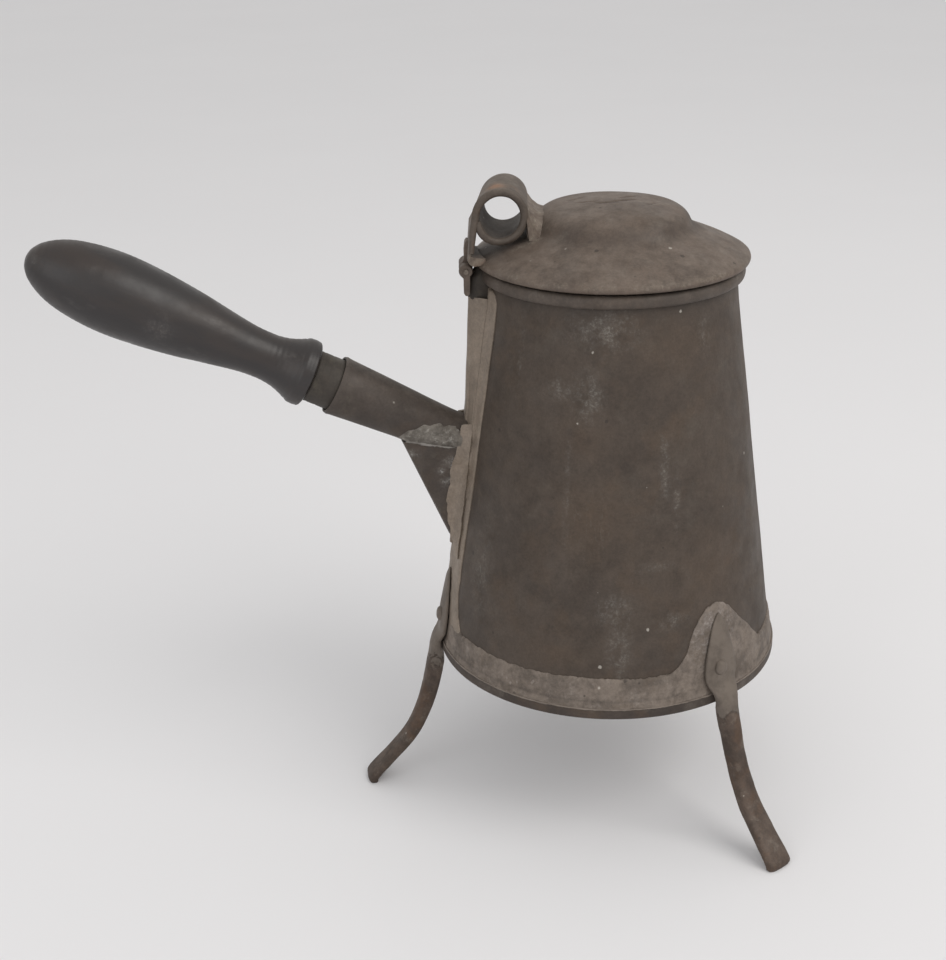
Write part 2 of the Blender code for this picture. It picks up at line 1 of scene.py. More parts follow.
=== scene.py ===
"""Finished look of a side-handled hearth pot.

Browned tinned sheet, dull solder, forged legs and a blackened turned grip.  Sizes are in
millimetres and MM turns them into metres.  A place on the pot is given by rho, its distance
from the pot's upright axis, with y and z, or by an angle about that axis, where 180 degrees
is the handle's side.
"""
import logging
import math
from dataclasses import dataclass, field
from enum import Enum
from typing import Callable, Iterable, Optional, Sequence, Union

import bmesh
import bpy
from mathutils import Matrix, Vector, noise


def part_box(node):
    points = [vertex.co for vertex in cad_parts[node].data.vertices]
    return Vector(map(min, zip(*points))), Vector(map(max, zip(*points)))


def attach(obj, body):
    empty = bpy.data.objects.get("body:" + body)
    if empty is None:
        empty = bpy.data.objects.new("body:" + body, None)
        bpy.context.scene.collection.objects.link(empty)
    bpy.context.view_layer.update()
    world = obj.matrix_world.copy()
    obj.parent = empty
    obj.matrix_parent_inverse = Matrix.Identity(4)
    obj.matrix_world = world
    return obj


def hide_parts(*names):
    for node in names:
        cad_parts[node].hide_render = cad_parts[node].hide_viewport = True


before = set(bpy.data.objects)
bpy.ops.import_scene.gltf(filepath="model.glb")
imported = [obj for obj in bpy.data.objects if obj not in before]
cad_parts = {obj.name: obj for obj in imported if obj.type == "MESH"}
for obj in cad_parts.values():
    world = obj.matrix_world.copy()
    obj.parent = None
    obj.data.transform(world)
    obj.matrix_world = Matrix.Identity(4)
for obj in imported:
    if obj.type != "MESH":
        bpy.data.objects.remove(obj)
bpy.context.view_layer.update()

LOG = logging.getLogger("hearth_pot")
MM = 0.001
TURN = 2 * math.pi
HANDLE_ANGLE = 180.0

Colour = tuple[float, float, float]
Point2 = tuple[float, float]
Table = Sequence[Point2]
Mark = tuple[float, float, float, float, float]
Value = Union[float, tuple, bpy.types.NodeSocket]


class Body(Enum):
    """The two rigid bodies of the pot."""

    VESSEL = "vessel"
    LID = "lid"


class Slot(Enum):
    """Material slots of the record."""

    TIN = "tinned_sheet"
    SOLDER = "solder"
    IRON = "forged_iron"
    WOOD = "wood"


# ---------------------------------------------------------------- small mathematics


def interpolate(table: Table, value: float) -> float:
    """Read a short table of (position, size) with straight lines between its rows.

    Args:
        table: Rows in rising order of position.
        value: Position to read at.

    Returns:
        The size at that position, held level past either end.
    """
    if value <= table[0][0]:
        return table[0][1]
    for (low, at_low), (high, at_high) in zip(table, table[1:]):
        if value <= high:
            return at_low + (at_high - at_low) * (value - low) / (high - low)
    return table[-1][1]


def smooth_line(points: Sequence[Sequence[float]], steps: int) -> list[tuple[float, ...]]:
    """Run a Catmull-Rom curve through points.

    Args:
        points: Points of any one dimension.
        steps: Pieces made of each span.

    Returns:
        The finer line, through every given point.
    """
    line: list[tuple[float, ...]] = []
    last = len(points) - 1
    for i in range(last):
        p0, p1, p2, p3 = (points[max(i - 1, 0)], points[i], points[i + 1],
                          points[min(i + 2, last)])
        for k in range(steps):
            t = k / steps
            line.append(tuple(
                0.5 * (2 * b + (c - a) * t + (2 * a - 5 * b + 4 * c - d) * t ** 2
                       + (3 * b - a - 3 * c + d) * t ** 3)
                for a, b, c, d in zip(p0, p1, p2, p3)))
    line.append(tuple(points[-1]))
    return line


def ragged(place: Vector, size: float, octaves: int = 3) -> float:
    """Layered noise from about -1 to 1.

    Args:
        place: Where it is read, in millimetres.
        size: Length of its largest waves, in millimetres.
        octaves: Number of layers, each twice as fine.

    Returns:
        The noise there.
    """
    total, weight, reach = 0.0, 1.0, 0.0
    for k in range(octaves):
        total += weight * noise.noise(place * (2 ** k / size) + Vector((7.3, 1.9, 4.4)) * k)
        reach += weight
        weight *= 0.55
    return 1.6 * total / reach


def bell(value: float, centre: float, width: float) -> float:
    """Bell curve of height one."""
    return math.exp(-((value - centre) / width) ** 2)


# ---------------------------------------------------------------- datums


@dataclass(frozen=True)
class Datum:
    """Places on the pot that every sub-assembly shares, in millimetres."""

    axis_x: float
    wall_low_z: float
    wall_high_z: float
    wall_low_r: float
    wall_high_r: float
    root_rho: float = 54.63
    root_z: float = 144.4
    rise: float = math.radians(27.42)

    @classmethod
    def read(cls) -> "Datum":
        """Take the pot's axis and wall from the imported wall.

        Returns:
            The datums.
        """
        low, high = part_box("body_wall")
        axis_x = (low.x + high.x) / 2
        top = [v.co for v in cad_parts["body_wall"].data.vertices if v.co.z > high.z - MM]
        top_r = max(math.hypot(co.x - axis_x, co.y) for co in top)
        return cls(axis_x / MM, low.z / MM, high.z / MM, (high.x - low.x) / 2 / MM, top_r / MM)

    def wall_r(self, z: float) -> float:
        """Outer radius of the wall at a height."""
        share = (z - self.wall_low_z) / (self.wall_high_z - self.wall_low_z)
        return self.wall_low_r + (self.wall_high_r - self.wall_low_r) * share

    @property
    def wall_slope(self) -> float:
        """Loss of radius for each unit of height."""
        return (self.wall_low_r - self.wall_high_r) / (self.wall_high_z - self.wall_low_z)

    def around(self, angle: float, rho: float, z: float, tangent: float = 0.0) -> Vector:
        """World place at an angle in degrees about the pot's axis.

        Args:
            angle: Angle, in degrees.
            rho: Distance from the axis.
            z: Height.
            tangent: Shift along the tangent.

        Returns:
            The place.
        """
        a = math.radians(angle)
        return Vector((self.axis_x + rho * math.cos(a) - tangent * math.sin(a),
                       rho * math.sin(a) + tangent * math.cos(a), z))

    def behind(self, rho: float, y: float, z: float) -> Vector:
        """World place on the handle's side."""
        return Vector((self.axis_x - rho, y, z))

    def handle(self, s: float, drop: float = 0.0, y: float = 0.0) -> Vector:
        """World place beside the handle's axis, drop being square to it and downwards.

        Args:
            s: Distance along the handle.
            drop: Distance below its axis.
            y: Distance across.

        Returns:
            The place.
        """
        rho = self.root_rho + s * math.cos(self.rise) + drop * math.sin(self.rise)
        z = self.root_z + s * math.sin(self.rise) - drop * math.cos(self.rise)
        return self.behind(rho, y, z)


# ---------------------------------------------------------------- meshes


@dataclass
class Shell:
    """Points and faces of one piece while it is being made, in millimetres."""

    points: list[Vector] = field(default_factory=list)
    faces: list[tuple[int, ...]] = field(default_factory=list)
    paint: dict[str, list[float]] = field(default_factory=dict)

    def add_grid(self, rows: Sequence[Sequence[Vector]], wrap_rows: bool = False,
                 wrap_columns: bool = False) -> int:
        """Add a grid of points with a face in every cell.

        Args:
            rows: Rows of equal length.
            wrap_rows: Whether the last row joins the first.
            wrap_columns: Whether the last column joins the first.

        Returns:
            Number of the grid's first point.
        """
        first = len(self.points)
        count, width = len(rows), len(rows[0])
        for row in rows:
            self.points.extend(row)
        for i in range(count if wrap_rows else count - 1):
            for j in range(width if wrap_columns else width - 1):
                a, b = i * width, (i + 1) % count * width
                k = (j + 1) % width
                self.faces.append((first + a + j, first + a + k, first + b + k, first + b + j))
        return first

    def add_cap(self, indices: Iterable[int]) -> None:
        """Close a hole with one face."""
        self.faces.append(tuple(indices))

    def lay(self, label: str, share: Callable[[Vector], float]) -> None:
        """Paint every point with a share from 0 to 1 that a finish can read."""
        self.paint[label] = [max(0.0, min(1.0, share(p))) for p in self.points]


def loft(rings: Sequence[Sequence[Vector]]) -> Shell:
    """Closed solid through rings of equal length, with a face at each end.

    Args:
        rings: Rings of points, in order along the solid.

    Returns:
        The shell.
    """
    shell = Shell()
    shell.add_grid(rings, wrap_columns=True)
    width = len(rings[0])
    shell.add_cap(range(width))
    shell.add_cap(range(len(shell.points) - width, len(shell.points)))
    return shell


def double_sheet(outer: Sequence[Sequence[Vector]], inner: Sequence[Sequence[Vector]],
                 wrap: bool = False) -> Shell:
    """Closed sheet between two grids of the same size.

    Args:
        outer: Rows of the outer face.
        inner: Rows of the inner face.
        wrap: Whether the rows are closed rings.

    Returns:
        The closed sheet.
    """
    shell = Shell()
    shell.add_grid(outer, wrap_columns=wrap)
    base = shell.add_grid(inner, wrap_columns=wrap)
    count, width = len(outer), len(outer[0])
    for j in range(width if wrap else width - 1):
        k = (j + 1) % width
        shell.faces.append((j, k, base + k, base + j))
        end = (count - 1) * width
        shell.faces.append((end + j, end + k, base + end + k, base + end + j))
    if not wrap:
        for i in range(count - 1):
            for j in (0, width - 1):
                a, b = i * width + j, (i + 1) * width + j
                shell.faces.append((a, b, base + b, base + a))
    return shell


def turned(datum: Datum, outline: Sequence[Point2], steps: int,
           shape: Optional[Callable[[float, float, float], Point2]] = None,
           closed: bool = True) -> Shell:
    """Turn an outline about the pot's axis.

    Args:
        datum: The pot's datums.
        outline: Outline of (rho, z).
        steps: Steps of the turn.
        shape: Changes (angle in degrees, rho, z) into the final (rho, z).
        closed: Whether the outline closes on itself rather than ending on the axis.

    Returns:
        The turned solid.
    """
    rows = []
    for rho, z in outline:
        row = []
        for j in range(steps):
            angle = 360.0 * j / steps
            r2, z2 = shape(angle, rho, z) if shape else (rho, z)
            row.append(datum.around(angle, r2, z2))
        rows.append(row)
    shell = Shell()
    shell.add_grid(rows, wrap_rows=closed, wrap_columns=True)
    return shell


def turned_on_handle(datum: Datum, rings: Sequence[Point2], steps: int,
                     shape: Optional[Callable[[float, float, float], Point2]] = None,
                     closed: bool = True) -> Shell:
    """Turn an outline of (s, radius) about the handle's axis; see turned().

    Args:
        datum: The pot's datums.
        rings: Points of the outline.
        steps: Sides round the axis.
        shape: Change of each point, or None.
        closed: Whether the outline closes on itself.

    Returns:
        The shell.
    """
    rows = []
    for s, radius in rings:
        row = []
        for j in range(steps):
            angle = TURN * j / steps
            s2, r2 = shape(angle, s, radius) if shape else (s, radius)
            row.append(datum.handle(s2, r2 * math.cos(angle), r2 * math.sin(angle)))
        rows.append(row)
    shell = Shell()
    shell.add_grid(rows, wrap_rows=closed, wrap_columns=True)
    return shell


def tube(path: Sequence[Vector], radius: Callable[[float], float], sides: int,
         across: Vector) -> Shell:
    """Round bar along a path.

    Args:
        path: Points of the middle line.
        radius: Radius at a share of the length from 0 to 1.
        sides: Points in each ring.
        across: Direction that each ring keeps level.

    Returns:
        The closed bar.
    """
    rings = []
    for i, point in enumerate(path):
        run = (path[min(i + 1, len(path) - 1)] - path[max(i - 1, 0)]).normalized()
        side = across.cross(run).normalized()
        up = run.cross(side).normalized()
        r = radius(i / (len(path) - 1))
        rings.append([point + side * (r * math.cos(TURN * k / sides))
                      + up * (r * math.sin(TURN * k / sides)) for k in range(sides)])
    return loft(rings)


def make_piece(name: str, shell: Shell, material: bpy.types.Material, body: Body,
               replaces: Sequence[str] = (), sharp: float = 40.0) -> bpy.types.Object:
    """Turn a shell into a finished object that rides on its body.

    Args:
        name: Name of the piece.
        shell: Its points and faces.
        material: Its finish.
        body: Body that it moves with.
        replaces: CAD nodes that it stands for.
        sharp: Edges that turn more than this many degrees stay sharp.

    Returns:
        The new object.
    """
    mesh = bpy.data.meshes.new(name)
    mesh.from_pydata([tuple(p * MM) for p in shell.points], [], shell.faces)
    for label, values in shell.paint.items():
        layer = mesh.attributes.new(label, "FLOAT", "POINT")
        layer.data.foreach_set("value", values)
    work = bmesh.new()
    work.from_mesh(mesh)
    bmesh.ops.remove_doubles(work, verts=work.verts, dist=0.00002)
    bmesh.ops.recalc_face_normals(work, faces=work.faces)
    work.to_mesh(mesh)
    work.free()
    mesh.materials.append(material)
    mesh.shade_smooth()
    mesh.set_sharp_from_angle(angle=math.radians(sharp))
    item = bpy.data.objects.new(name, mesh)
    bpy.context.scene.collection.objects.link(item)
    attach(item, body.value)
    if replaces:
        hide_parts(*replaces)
    LOG.info("%s: %d points on %s", name, len(mesh.vertices), body.value)
    return item


def dress_node(node: str, material: bpy.types.Material, bevel: float = 0.0) -> None:
    """Give a kept CAD node its finish and, if asked, softened edges.

    Args:
        node: Name of the CAD node.
        material: Its finish.
        bevel: Width of the softened edge in millimetres, or 0 for none.
    """
    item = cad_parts[node]
    item.data.materials.clear()
    item.data.materials.append(material)
    if bevel:
        modifier = item.modifiers.new("softened", "BEVEL")
        modifier.width = bevel * MM
        modifier.segments = 2
        modifier.limit_method = "ANGLE"
        modifier.angle_limit = math.radians(50.0)
    LOG.info("%s: kept, dressed in %s", node, material.name)


# ---------------------------------------------------------------- node building


class Graph:
    """Adds nodes to one tree and joins them."""

    def __init__(self, tree: bpy.types.NodeTree) -> None:
        """Start on a tree."""
        self.tree = tree

    def feed(self, socket: bpy.types.NodeSocket, value: Value) -> None:
        """Link a socket to another, or set its value.

        Args:
            socket: Socket to feed.
            value: Another socket, or a value.
        """
        if isinstance(value, bpy.types.NodeSocket):
            self.tree.links.new(value, socket)
        else:
            socket.default_value = value

    def add(self, kind: str, values: Optional[dict] = None, **settings) -> bpy.types.Node:
        """Add a node.

        Args:
            kind: Blender's name for the node type.
            values: Input name or number to a value or a socket.
            **settings: Properties of the node itself.

        Returns:
            The node.
        """
        node = self.tree.nodes.new(kind)
        for key, value in settings.items():
            setattr(node, key, value)
        for key, value in (values or {}).items():
            self.feed(node.inputs[key], value)
        return node

    def math(self, operation: str, a: Value, b: Value = 0.0) -> bpy.types.NodeSocket:
        """One sum on two numbers."""
        return self.add("ShaderNodeMath", {0: a, 1: b}, operation=operation).outputs[0]

    def times(self, a: Value, b: Value) -> bpy.types.NodeSocket:
        """Product of two numbers."""
        return self.math("MULTIPLY", a, b)

    def plus(self, a: Value, b: Value) -> bpy.types.NodeSocket:
        """Sum of two numbers."""
        return self.math("ADD", a, b)

    def minus(self, a: Value, b: Value) -> bpy.types.NodeSocket:
        """First number less the second."""
        return self.math("SUBTRACT", a, b)

    def noise(self, vector: Value, scale: Value, detail: float = 4.0, rough: float = 0.55,
              bend: float = 0.0) -> bpy.types.NodeSocket:
        """Layered noise from 0 to 1.

        Args:
            vector: Coordinates.
            scale: Size of the pattern, per metre.
            detail: Number of finer layers.
            rough: Weight of the finer layers.
            bend: Distortion.

        Returns:
            The noise.
        """
        return self.add("ShaderNodeTexNoise", {
            "Vector": vector, "Scale": scale, "Detail": detail, "Roughness": rough,
            "Distortion": bend}).outputs["Fac"]

    def step(self, value: Value, low: Value, high: Value) -> bpy.types.NodeSocket:
        """Smooth step from 0 at low to 1 at high."""
        return self.add("ShaderNodeMapRange", {"Value": value, "From Min": low, "From Max": high},
                        interpolation_type="SMOOTHSTEP").outputs["Result"]

    def mix(self, share: Value, a: Value, b: Value, way: str = "MIX") -> bpy.types.NodeSocket:
        """Mix two colours.

        Args:
            share: Share of the second colour.
            a: First colour.
            b: Second colour.
            way: Blender's name for the way of mixing.

        Returns:
            The mixed colour.
        """
        node = self.add("ShaderNodeMix", data_type="RGBA", blend_type=way)
        for key, value in ((0, share), (6, a), (7, b)):
            self.feed(node.inputs[key], value)
        return node.outputs[2]

    def layer(self, tone: Value, mask: Value, strength: float,
              colour: Colour) -> bpy.types.NodeSocket:
        """Lay a colour over a tone where a mask is, at a strength."""
        return self.mix(self.times(mask, strength), tone, shade(colour))

    def stretch(self, vector: Value, scale: Colour) -> bpy.types.NodeSocket:
        """Scale a vector along each axis."""
        return self.add("ShaderNodeVectorMath", {0: vector, 1: scale},
                        operation="MULTIPLY").outputs[0]


def shader_group(name: str, inputs: Sequence[tuple[str, str, float]],
                 output: tuple[str, str]) -> tuple[bpy.types.NodeTree, Graph, dict, Callable]:
    """Start a shader node group.

    Args:
        name: Name of the group.
        inputs: Name, socket type and default of each input.
        output: Name and socket type of the single output.

    Returns:
        The tree, a graph on it, its input sockets by name, and a call that sets the output.
    """
    tree = bpy.data.node_groups.new(name, "ShaderNodeTree")
    for label, kind, default in inputs:
        socket = tree.interface.new_socket(label, in_out="INPUT", socket_type=kind)
        if kind == "NodeSocketFloat":
            socket.default_value = default
    tree.interface.new_socket(output[0], in_out="OUTPUT", socket_type=output[1])
    graph = Graph(tree)
    source = graph.add("NodeGroupInput")
    sink = graph.add("NodeGroupOutput")
    sockets = {label: source.outputs[label] for label, _, _ in inputs}

    def close(value: bpy.types.NodeSocket) -> None:
        """Join the group's output."""
        graph.feed(sink.inputs[0], value)

    return tree, graph, sockets, close


class Effects:
    """Shared surface effects, each a node group that is built once."""

    VECTOR = "NodeSocketVector"
    FLOAT = "NodeSocketFloat"

    def __init__(self) -> None:
        """Build every group."""
        self.mottling = self.make_mottling()
        self.specks = self.make_specks()
        self.scratches = self.make_scratches()
        self.edge_wear = self.make_edge_wear()
        self.dust = self.make_dust()
        self.coat = self.make_coat()
        # One painted layer carries painted shade and some real grime
        self.shade_and_grime = self.make_painted("shade_and_grime")
        self.faded = self.make_painted("faded")
        self.burnt = self.make_painted("burnt")
        self.grain = self.make_grain()

    def mask_group(self, name: str, **numbers: float) -> tuple[
            bpy.types.NodeTree, Graph, dict, Callable]:
        """Start a group that turns coordinates and some numbers into a mask.

        Args:
            name: Name of the group.
            numbers: Default of each number that the group takes.

        Returns:
            What shader_group() returns.
        """
        inputs = [(label, self.FLOAT, number) for label, number in numbers.items()]
        return shader_group(name, [("Vector", self.VECTOR, 0), *inputs], ("Mask", self.FLOAT))

    def make_mottling(self) -> bpy.types.NodeTree:
        """Cloudy stains of uneven size.

        Returns:
            The group.
        """
        tree, g, given, close = self.mask_group("mottling", Scale=60.0, Low=0.4, High=0.6)
        broad = g.noise(given["Vector"], given["Scale"], 5.0, 0.6, 0.5)
        fine = g.noise(given["Vector"], g.times(given["Scale"], 4.3), 5.0, 0.65)
        both = g.plus(g.times(broad, 0.68), g.times(fine, 0.32))
        close(g.step(both, given["Low"], given["High"]))
        return tree

    def make_specks(self) -> bpy.types.NodeTree:
        """Scattered round specks of uneven size.

        Returns:
            The group.
        """
        tree, g, given, close = self.mask_group("specks", Scale=150.0, Size=0.12, Share=0.05)
        cell = g.add("ShaderNodeTexVoronoi", {"Vector": given["Vector"],
                                              "Scale": given["Scale"], "Randomness": 1.0})
        pick = g.add("ShaderNodeSeparateColor", {0: cell.outputs["Color"]})
        kept = g.math("LESS_THAN", pick.outputs[0], given["Share"])
        size = g.times(given["Size"], g.plus(pick.outputs[1], 0.45))
        wobble = g.times(g.noise(given["Vector"], 1400.0, 2.0), 0.12)
        inside = g.minus(size, g.plus(cell.outputs["Distance"], wobble))
        close(g.times(kept, g.step(inside, -0.07, 0.0)))
        return tree

    def make_scratches(self) -> bpy.types.NodeTree:
        """Thin upright scratches and drips, gathered in patches.

        Returns:
            The group.
        """
        tree, g, given, close = self.mask_group("scratches", Scale=260.0, Cover=0.5)
        long = g.noise(g.stretch(given["Vector"], (1.0, 1.0, 0.13)), given["Scale"], 3.0, 0.6)
        line = g.step(g.math("ABSOLUTE", g.minus(long, 0.5)), 0.03, 0.0)
        where = g.noise(g.stretch(given["Vector"], (1.0, 1.0, 0.45)), 34.0, 3.0, 0.6)
        patch = g.step(where, g.minus(0.72, g.times(given["Cover"], 0.2)), 0.78)
        broken = g.step(g.noise(given["Vector"], 900.0, 3.0, 0.7), 0.42, 0.6)
        close(g.times(g.times(line, patch), broken))
        return tree

    def make_edge_wear(self) -> bpy.types.NodeTree:
        """Rubbed corners and ridges.

        Returns:
            The group.
        """
        tree, g, given, close = self.mask_group("edge_wear", Reach=0.5)
        ridge = g.add("ShaderNodeNewGeometry").outputs["Pointiness"]
        level = g.minus(0.58, g.times(given["Reach"], 0.06))
        edge = g.step(ridge, level, g.plus(level, 0.07))
        close(g.times(edge, g.step(g.noise(given["Vector"], 420.0, 4.0, 0.65), 0.35, 0.62)))
        return tree

    def make_dust(self) -> bpy.types.NodeTree:
        """Dust on faces that look up, in the piece's own frame.

        Returns:
            The group.
        """
        tree, g, given, close = self.mask_group("settled_dust", Level=0.5)
        normal = g.add("ShaderNodeTexCoord").outputs["Normal"]
        up = g.add("ShaderNodeSeparateXYZ", {0: normal}).outputs["Z"]
        flat = g.step(up, g.minus(1.0, given["Level"]), 1.1)
        cloud = g.step(g.noise(given["Vector"], 130.0, 5.0, 0.65), 0.25, 0.75)
        close(g.times(flat, cloud))
        return tree

    def make_coat(self) -> bpy.types.NodeTree:
        """Ragged-edged area of a second metal, from the piece's painted share.

        Returns:
            The group.
        """
        tree, g, given, close = self.mask_group("coat_edge", Rag=0.35)
        painted = g.add("ShaderNodeAttribute", attribute_name="coat").outputs["Fac"]
        wave = g.minus(g.noise(given["Vector"], 240.0, 6.0, 0.68, 0.6), 0.5)
        total = g.plus(painted, g.times(wave, given["Rag"]))
        close(g.step(total, 0.47, 0.53))
        return tree

    def make_painted(self, name: str) -> bpy.types.NodeTree:
        """Soft-edged painted share, broken up by noise.

        Args:
            name: Name of the painted layer.

        Returns:
            The group.
        """
        tree, g, given, close = shader_group(
            f"painted_{name}", [("Vector", self.VECTOR, 0), ("Break", self.FLOAT, 1.0)],
            ("Mask", self.FLOAT))
        painted = g.add("ShaderNodeAttribute", attribute_name=name).outputs["Fac"]
        broad = g.step(g.noise(given["Vector"], 210.0, 3.0, 0.6), 0.36, 0.6)
        flecks = g.step(g.noise(given["Vector"], 900.0, 4.0, 0.75), 0.47, 0.62)
        both = g.times(broad, g.plus(g.times(flecks, 0.75), 0.25))
        patchy = g.times(both, given["Break"])
        whole = g.minus(1.0, given["Break"])
        close(g.times(painted, g.plus(patchy, whole)))
        return tree

    def make_grain(self) -> bpy.types.NodeTree:
        """Fine unevenness of old sheet: pits, scale and soft waves, as a height in metres.

        Returns:
            The group.
        """
        tree, g, given, close = shader_group(
            "surface_grain", [("Vector", self.VECTOR, 0), ("Waves", self.FLOAT, 1.0),
                              ("Pits", self.FLOAT, 1.0)], ("Height", self.FLOAT))
        soft = g.times(g.noise(given["Vector"], 90.0, 3.0), 0.00012)
        crisp = g.times(g.noise(given["Vector"], 900.0, 5.0, 0.7), 0.00005)
        close(g.plus(g.times(soft, given["Waves"]), g.times(crisp, given["Pits"])))
        return tree

    @staticmethod
    def use(graph: Graph, tree: bpy.types.NodeTree, vector: Value,
            **values: float) -> bpy.types.NodeSocket:
        """Place a group in a material.

        Args:
            graph: The material's graph.
            tree: The group.
            vector: Coordinates.
            **values: Numbers for its other inputs.

        Returns:
            The group's output.
        """
        node = graph.add("ShaderNodeGroup")
        node.node_tree = tree
        graph.feed(node.inputs["Vector"], vector)
        for key, value in values.items():
            graph.feed(node.inputs[key], value)
        return node.outputs[0]


def shade(colour: Colour) -> tuple[float, float, float, float]:
    """Colour with full alpha."""
    return (*colour, 1.0)


@dataclass(frozen=True)
class MetalFinish:
    """Finish of an old metal surface; colours are linear."""

    name: str
    base: Colour
    dark: Colour
    pale: Colour
    rust: Colour
    dark_share: float = 0.7
    pale_share: float = 0.5
    rust_share: float = 0.5
    patch: float = 42.0
    metallic: float = 0.25
    rough: tuple[float, float] = (0.5, 0.72)
    speck_share: float = 0.05
    scratch: float = 0.5
    wear: float = 0.5
    dust: float = 0.3
    waves: float = 1.0
    pits: float = 1.0
    coated: bool = False
    coat_base: Colour = (0.21, 0.175, 0.148)
    coat_dark: Colour = (0.12, 0.097, 0.08)
    coat_height: float = 0.00035
    coat_rag: float = 0.35
    faded: Colour = (0.215, 0.20, 0.185)
    pit_share: float = 0.10
    grit: float = 1.0

    SPECK: Colour = (0.5, 0.47, 0.42)
    DUST: Colour = (0.25, 0.215, 0.185)
    # Colour of pits, also laid on as painted shade
    PIT_AND_SHADE: Colour = (0.030, 0.023, 0.019)

    def colour(self, g: Graph, fx: Effects, at: Value) -> bpy.types.NodeSocket:
        """Layer stains, rust, rubbing, dust, specks and painted shade over the base colour.

        Args:
            g: Graph of the material.
            fx: The shared effects.
            at: Coordinates.

        Returns:
            The colour.
        """
        stain = fx.use(g, fx.mottling, at, Scale=self.patch, Low=0.42, High=0.6)
        tone = g.layer(shade(self.base), stain, self.dark_share, self.dark)
        shifted = g.add("ShaderNodeVectorMath", {0: at, 1: (0.31, 0.17, 0.05)}).outputs[0]
        rusty = fx.use(g, fx.mottling, shifted, Scale=self.patch * 0.8, Low=0.5, High=0.64)
        tone = g.layer(tone, rusty, self.rust_share, self.rust)
        shifted = g.add("ShaderNodeVectorMath", {0: at, 1: (0.07, 0.41, 0.23)}).outputs[0]
        cloud = fx.use(g, fx.mottling, shifted, Scale=self.patch * 1.9, Low=0.52, High=0.68)
        tone = g.layer(tone, cloud, self.pale_share, self.pale)
        burnt = fx.use(g, fx.burnt, at, Break=0.35)
        tone = g.layer(tone, burnt, 0.85, self.rust)
        faded = fx.use(g, fx.faded, at, Break=1.0)
        tone = g.layer(tone, faded, 0.75, self.faded)
        marks = fx.use(g, fx.scratches, at, Scale=260.0, Cover=self.scratch)
        tone = g.layer(tone, marks, 0.6, self.pale)
        edge = fx.use(g, fx.edge_wear, at, Reach=self.wear)
        tone = g.layer(tone, edge, self.wear, self.pale)
        settled = fx.use(g, fx.dust, at, Level=0.55)
        tone = g.layer(tone, settled, self.dust, self.DUST)
        pits = fx.use(g, fx.specks, at, Scale=210.0, Size=0.14, Share=self.pit_share)
        tone = g.layer(tone, pits, 0.6, self.PIT_AND_SHADE)
        # Painted shade in hollows, under the rim bead and inside the loop, with some real grime,
        # darkened towards the pit colour
        shade_and_grime = fx.use(g, fx.shade_and_grime, at, Break=0.3)
        tone = g.layer(tone, shade_and_grime, 0.8, self.PIT_AND_SHADE)
        fleck = fx.use(g, fx.specks, at, Scale=170.0, Size=0.10, Share=self.speck_share)
        tone = g.layer(tone, fleck, 0.6, self.SPECK)
        soft = g.times(g.noise(at, 260.0, 3.0, 0.6), 0.5)
        pin = g.plus(g.noise(at, 1100.0, 5.0, 0.8), soft)
        grit = g.times(g.minus(pin, 0.75), self.grit)
        level = g.plus(grit, 1.0)
        return g.mix(1.0, tone, g.add("ShaderNodeCombineColor",
                                      {0: level, 1: level, 2: level}).outputs[0], "MULTIPLY")

    def build(self, fx: Effects) -> bpy.types.Material:
        """Make the material.

        Args:
            fx: The shared effects.

        Returns:
            The finished material.
        """
        material = bpy.data.materials.new(self.name)
        material.use_nodes = True
        g = Graph(material.node_tree)
        shader = material.node_tree.nodes["Principled BSDF"]
        at = g.add("ShaderNodeTexCoord").outputs["Object"]
        tone = self.colour(g, fx, at)
        height = fx.use(g, fx.grain, at, Waves=self.waves, Pits=self.pits)
        if self.coated:
            mask = fx.use(g, fx.coat, at, Rag=self.coat_rag)
            stain = fx.use(g, fx.mottling, at, Scale=110.0, Low=0.4, High=0.66)
            over = g.layer(shade(self.coat_base), stain, 0.7, self.coat_dark)
            tone = g.mix(mask, tone, over)
            height = g.plus(height, g.times(mask, self.coat_height))
        cloud = g.noise(at, self.patch * 2.2, 4.0, 0.6)
        low, high = self.rough
        rough = g.add("ShaderNodeMapRange", {"Value": cloud, "From Min": 0.3, "From Max": 0.7,
                                             "To Min": low, "To Max": high}).outputs["Result"]
        bump = g.add("ShaderNodeBump", {"Height": height, "Distance": 1.0, "Strength": 1.0})
        g.feed(shader.inputs["Base Color"], tone)
        g.feed(shader.inputs["Roughness"], rough)
        g.feed(shader.inputs["Normal"], bump.outputs["Normal"])
        shader.inputs["Metallic"].default_value = self.metallic
        return material


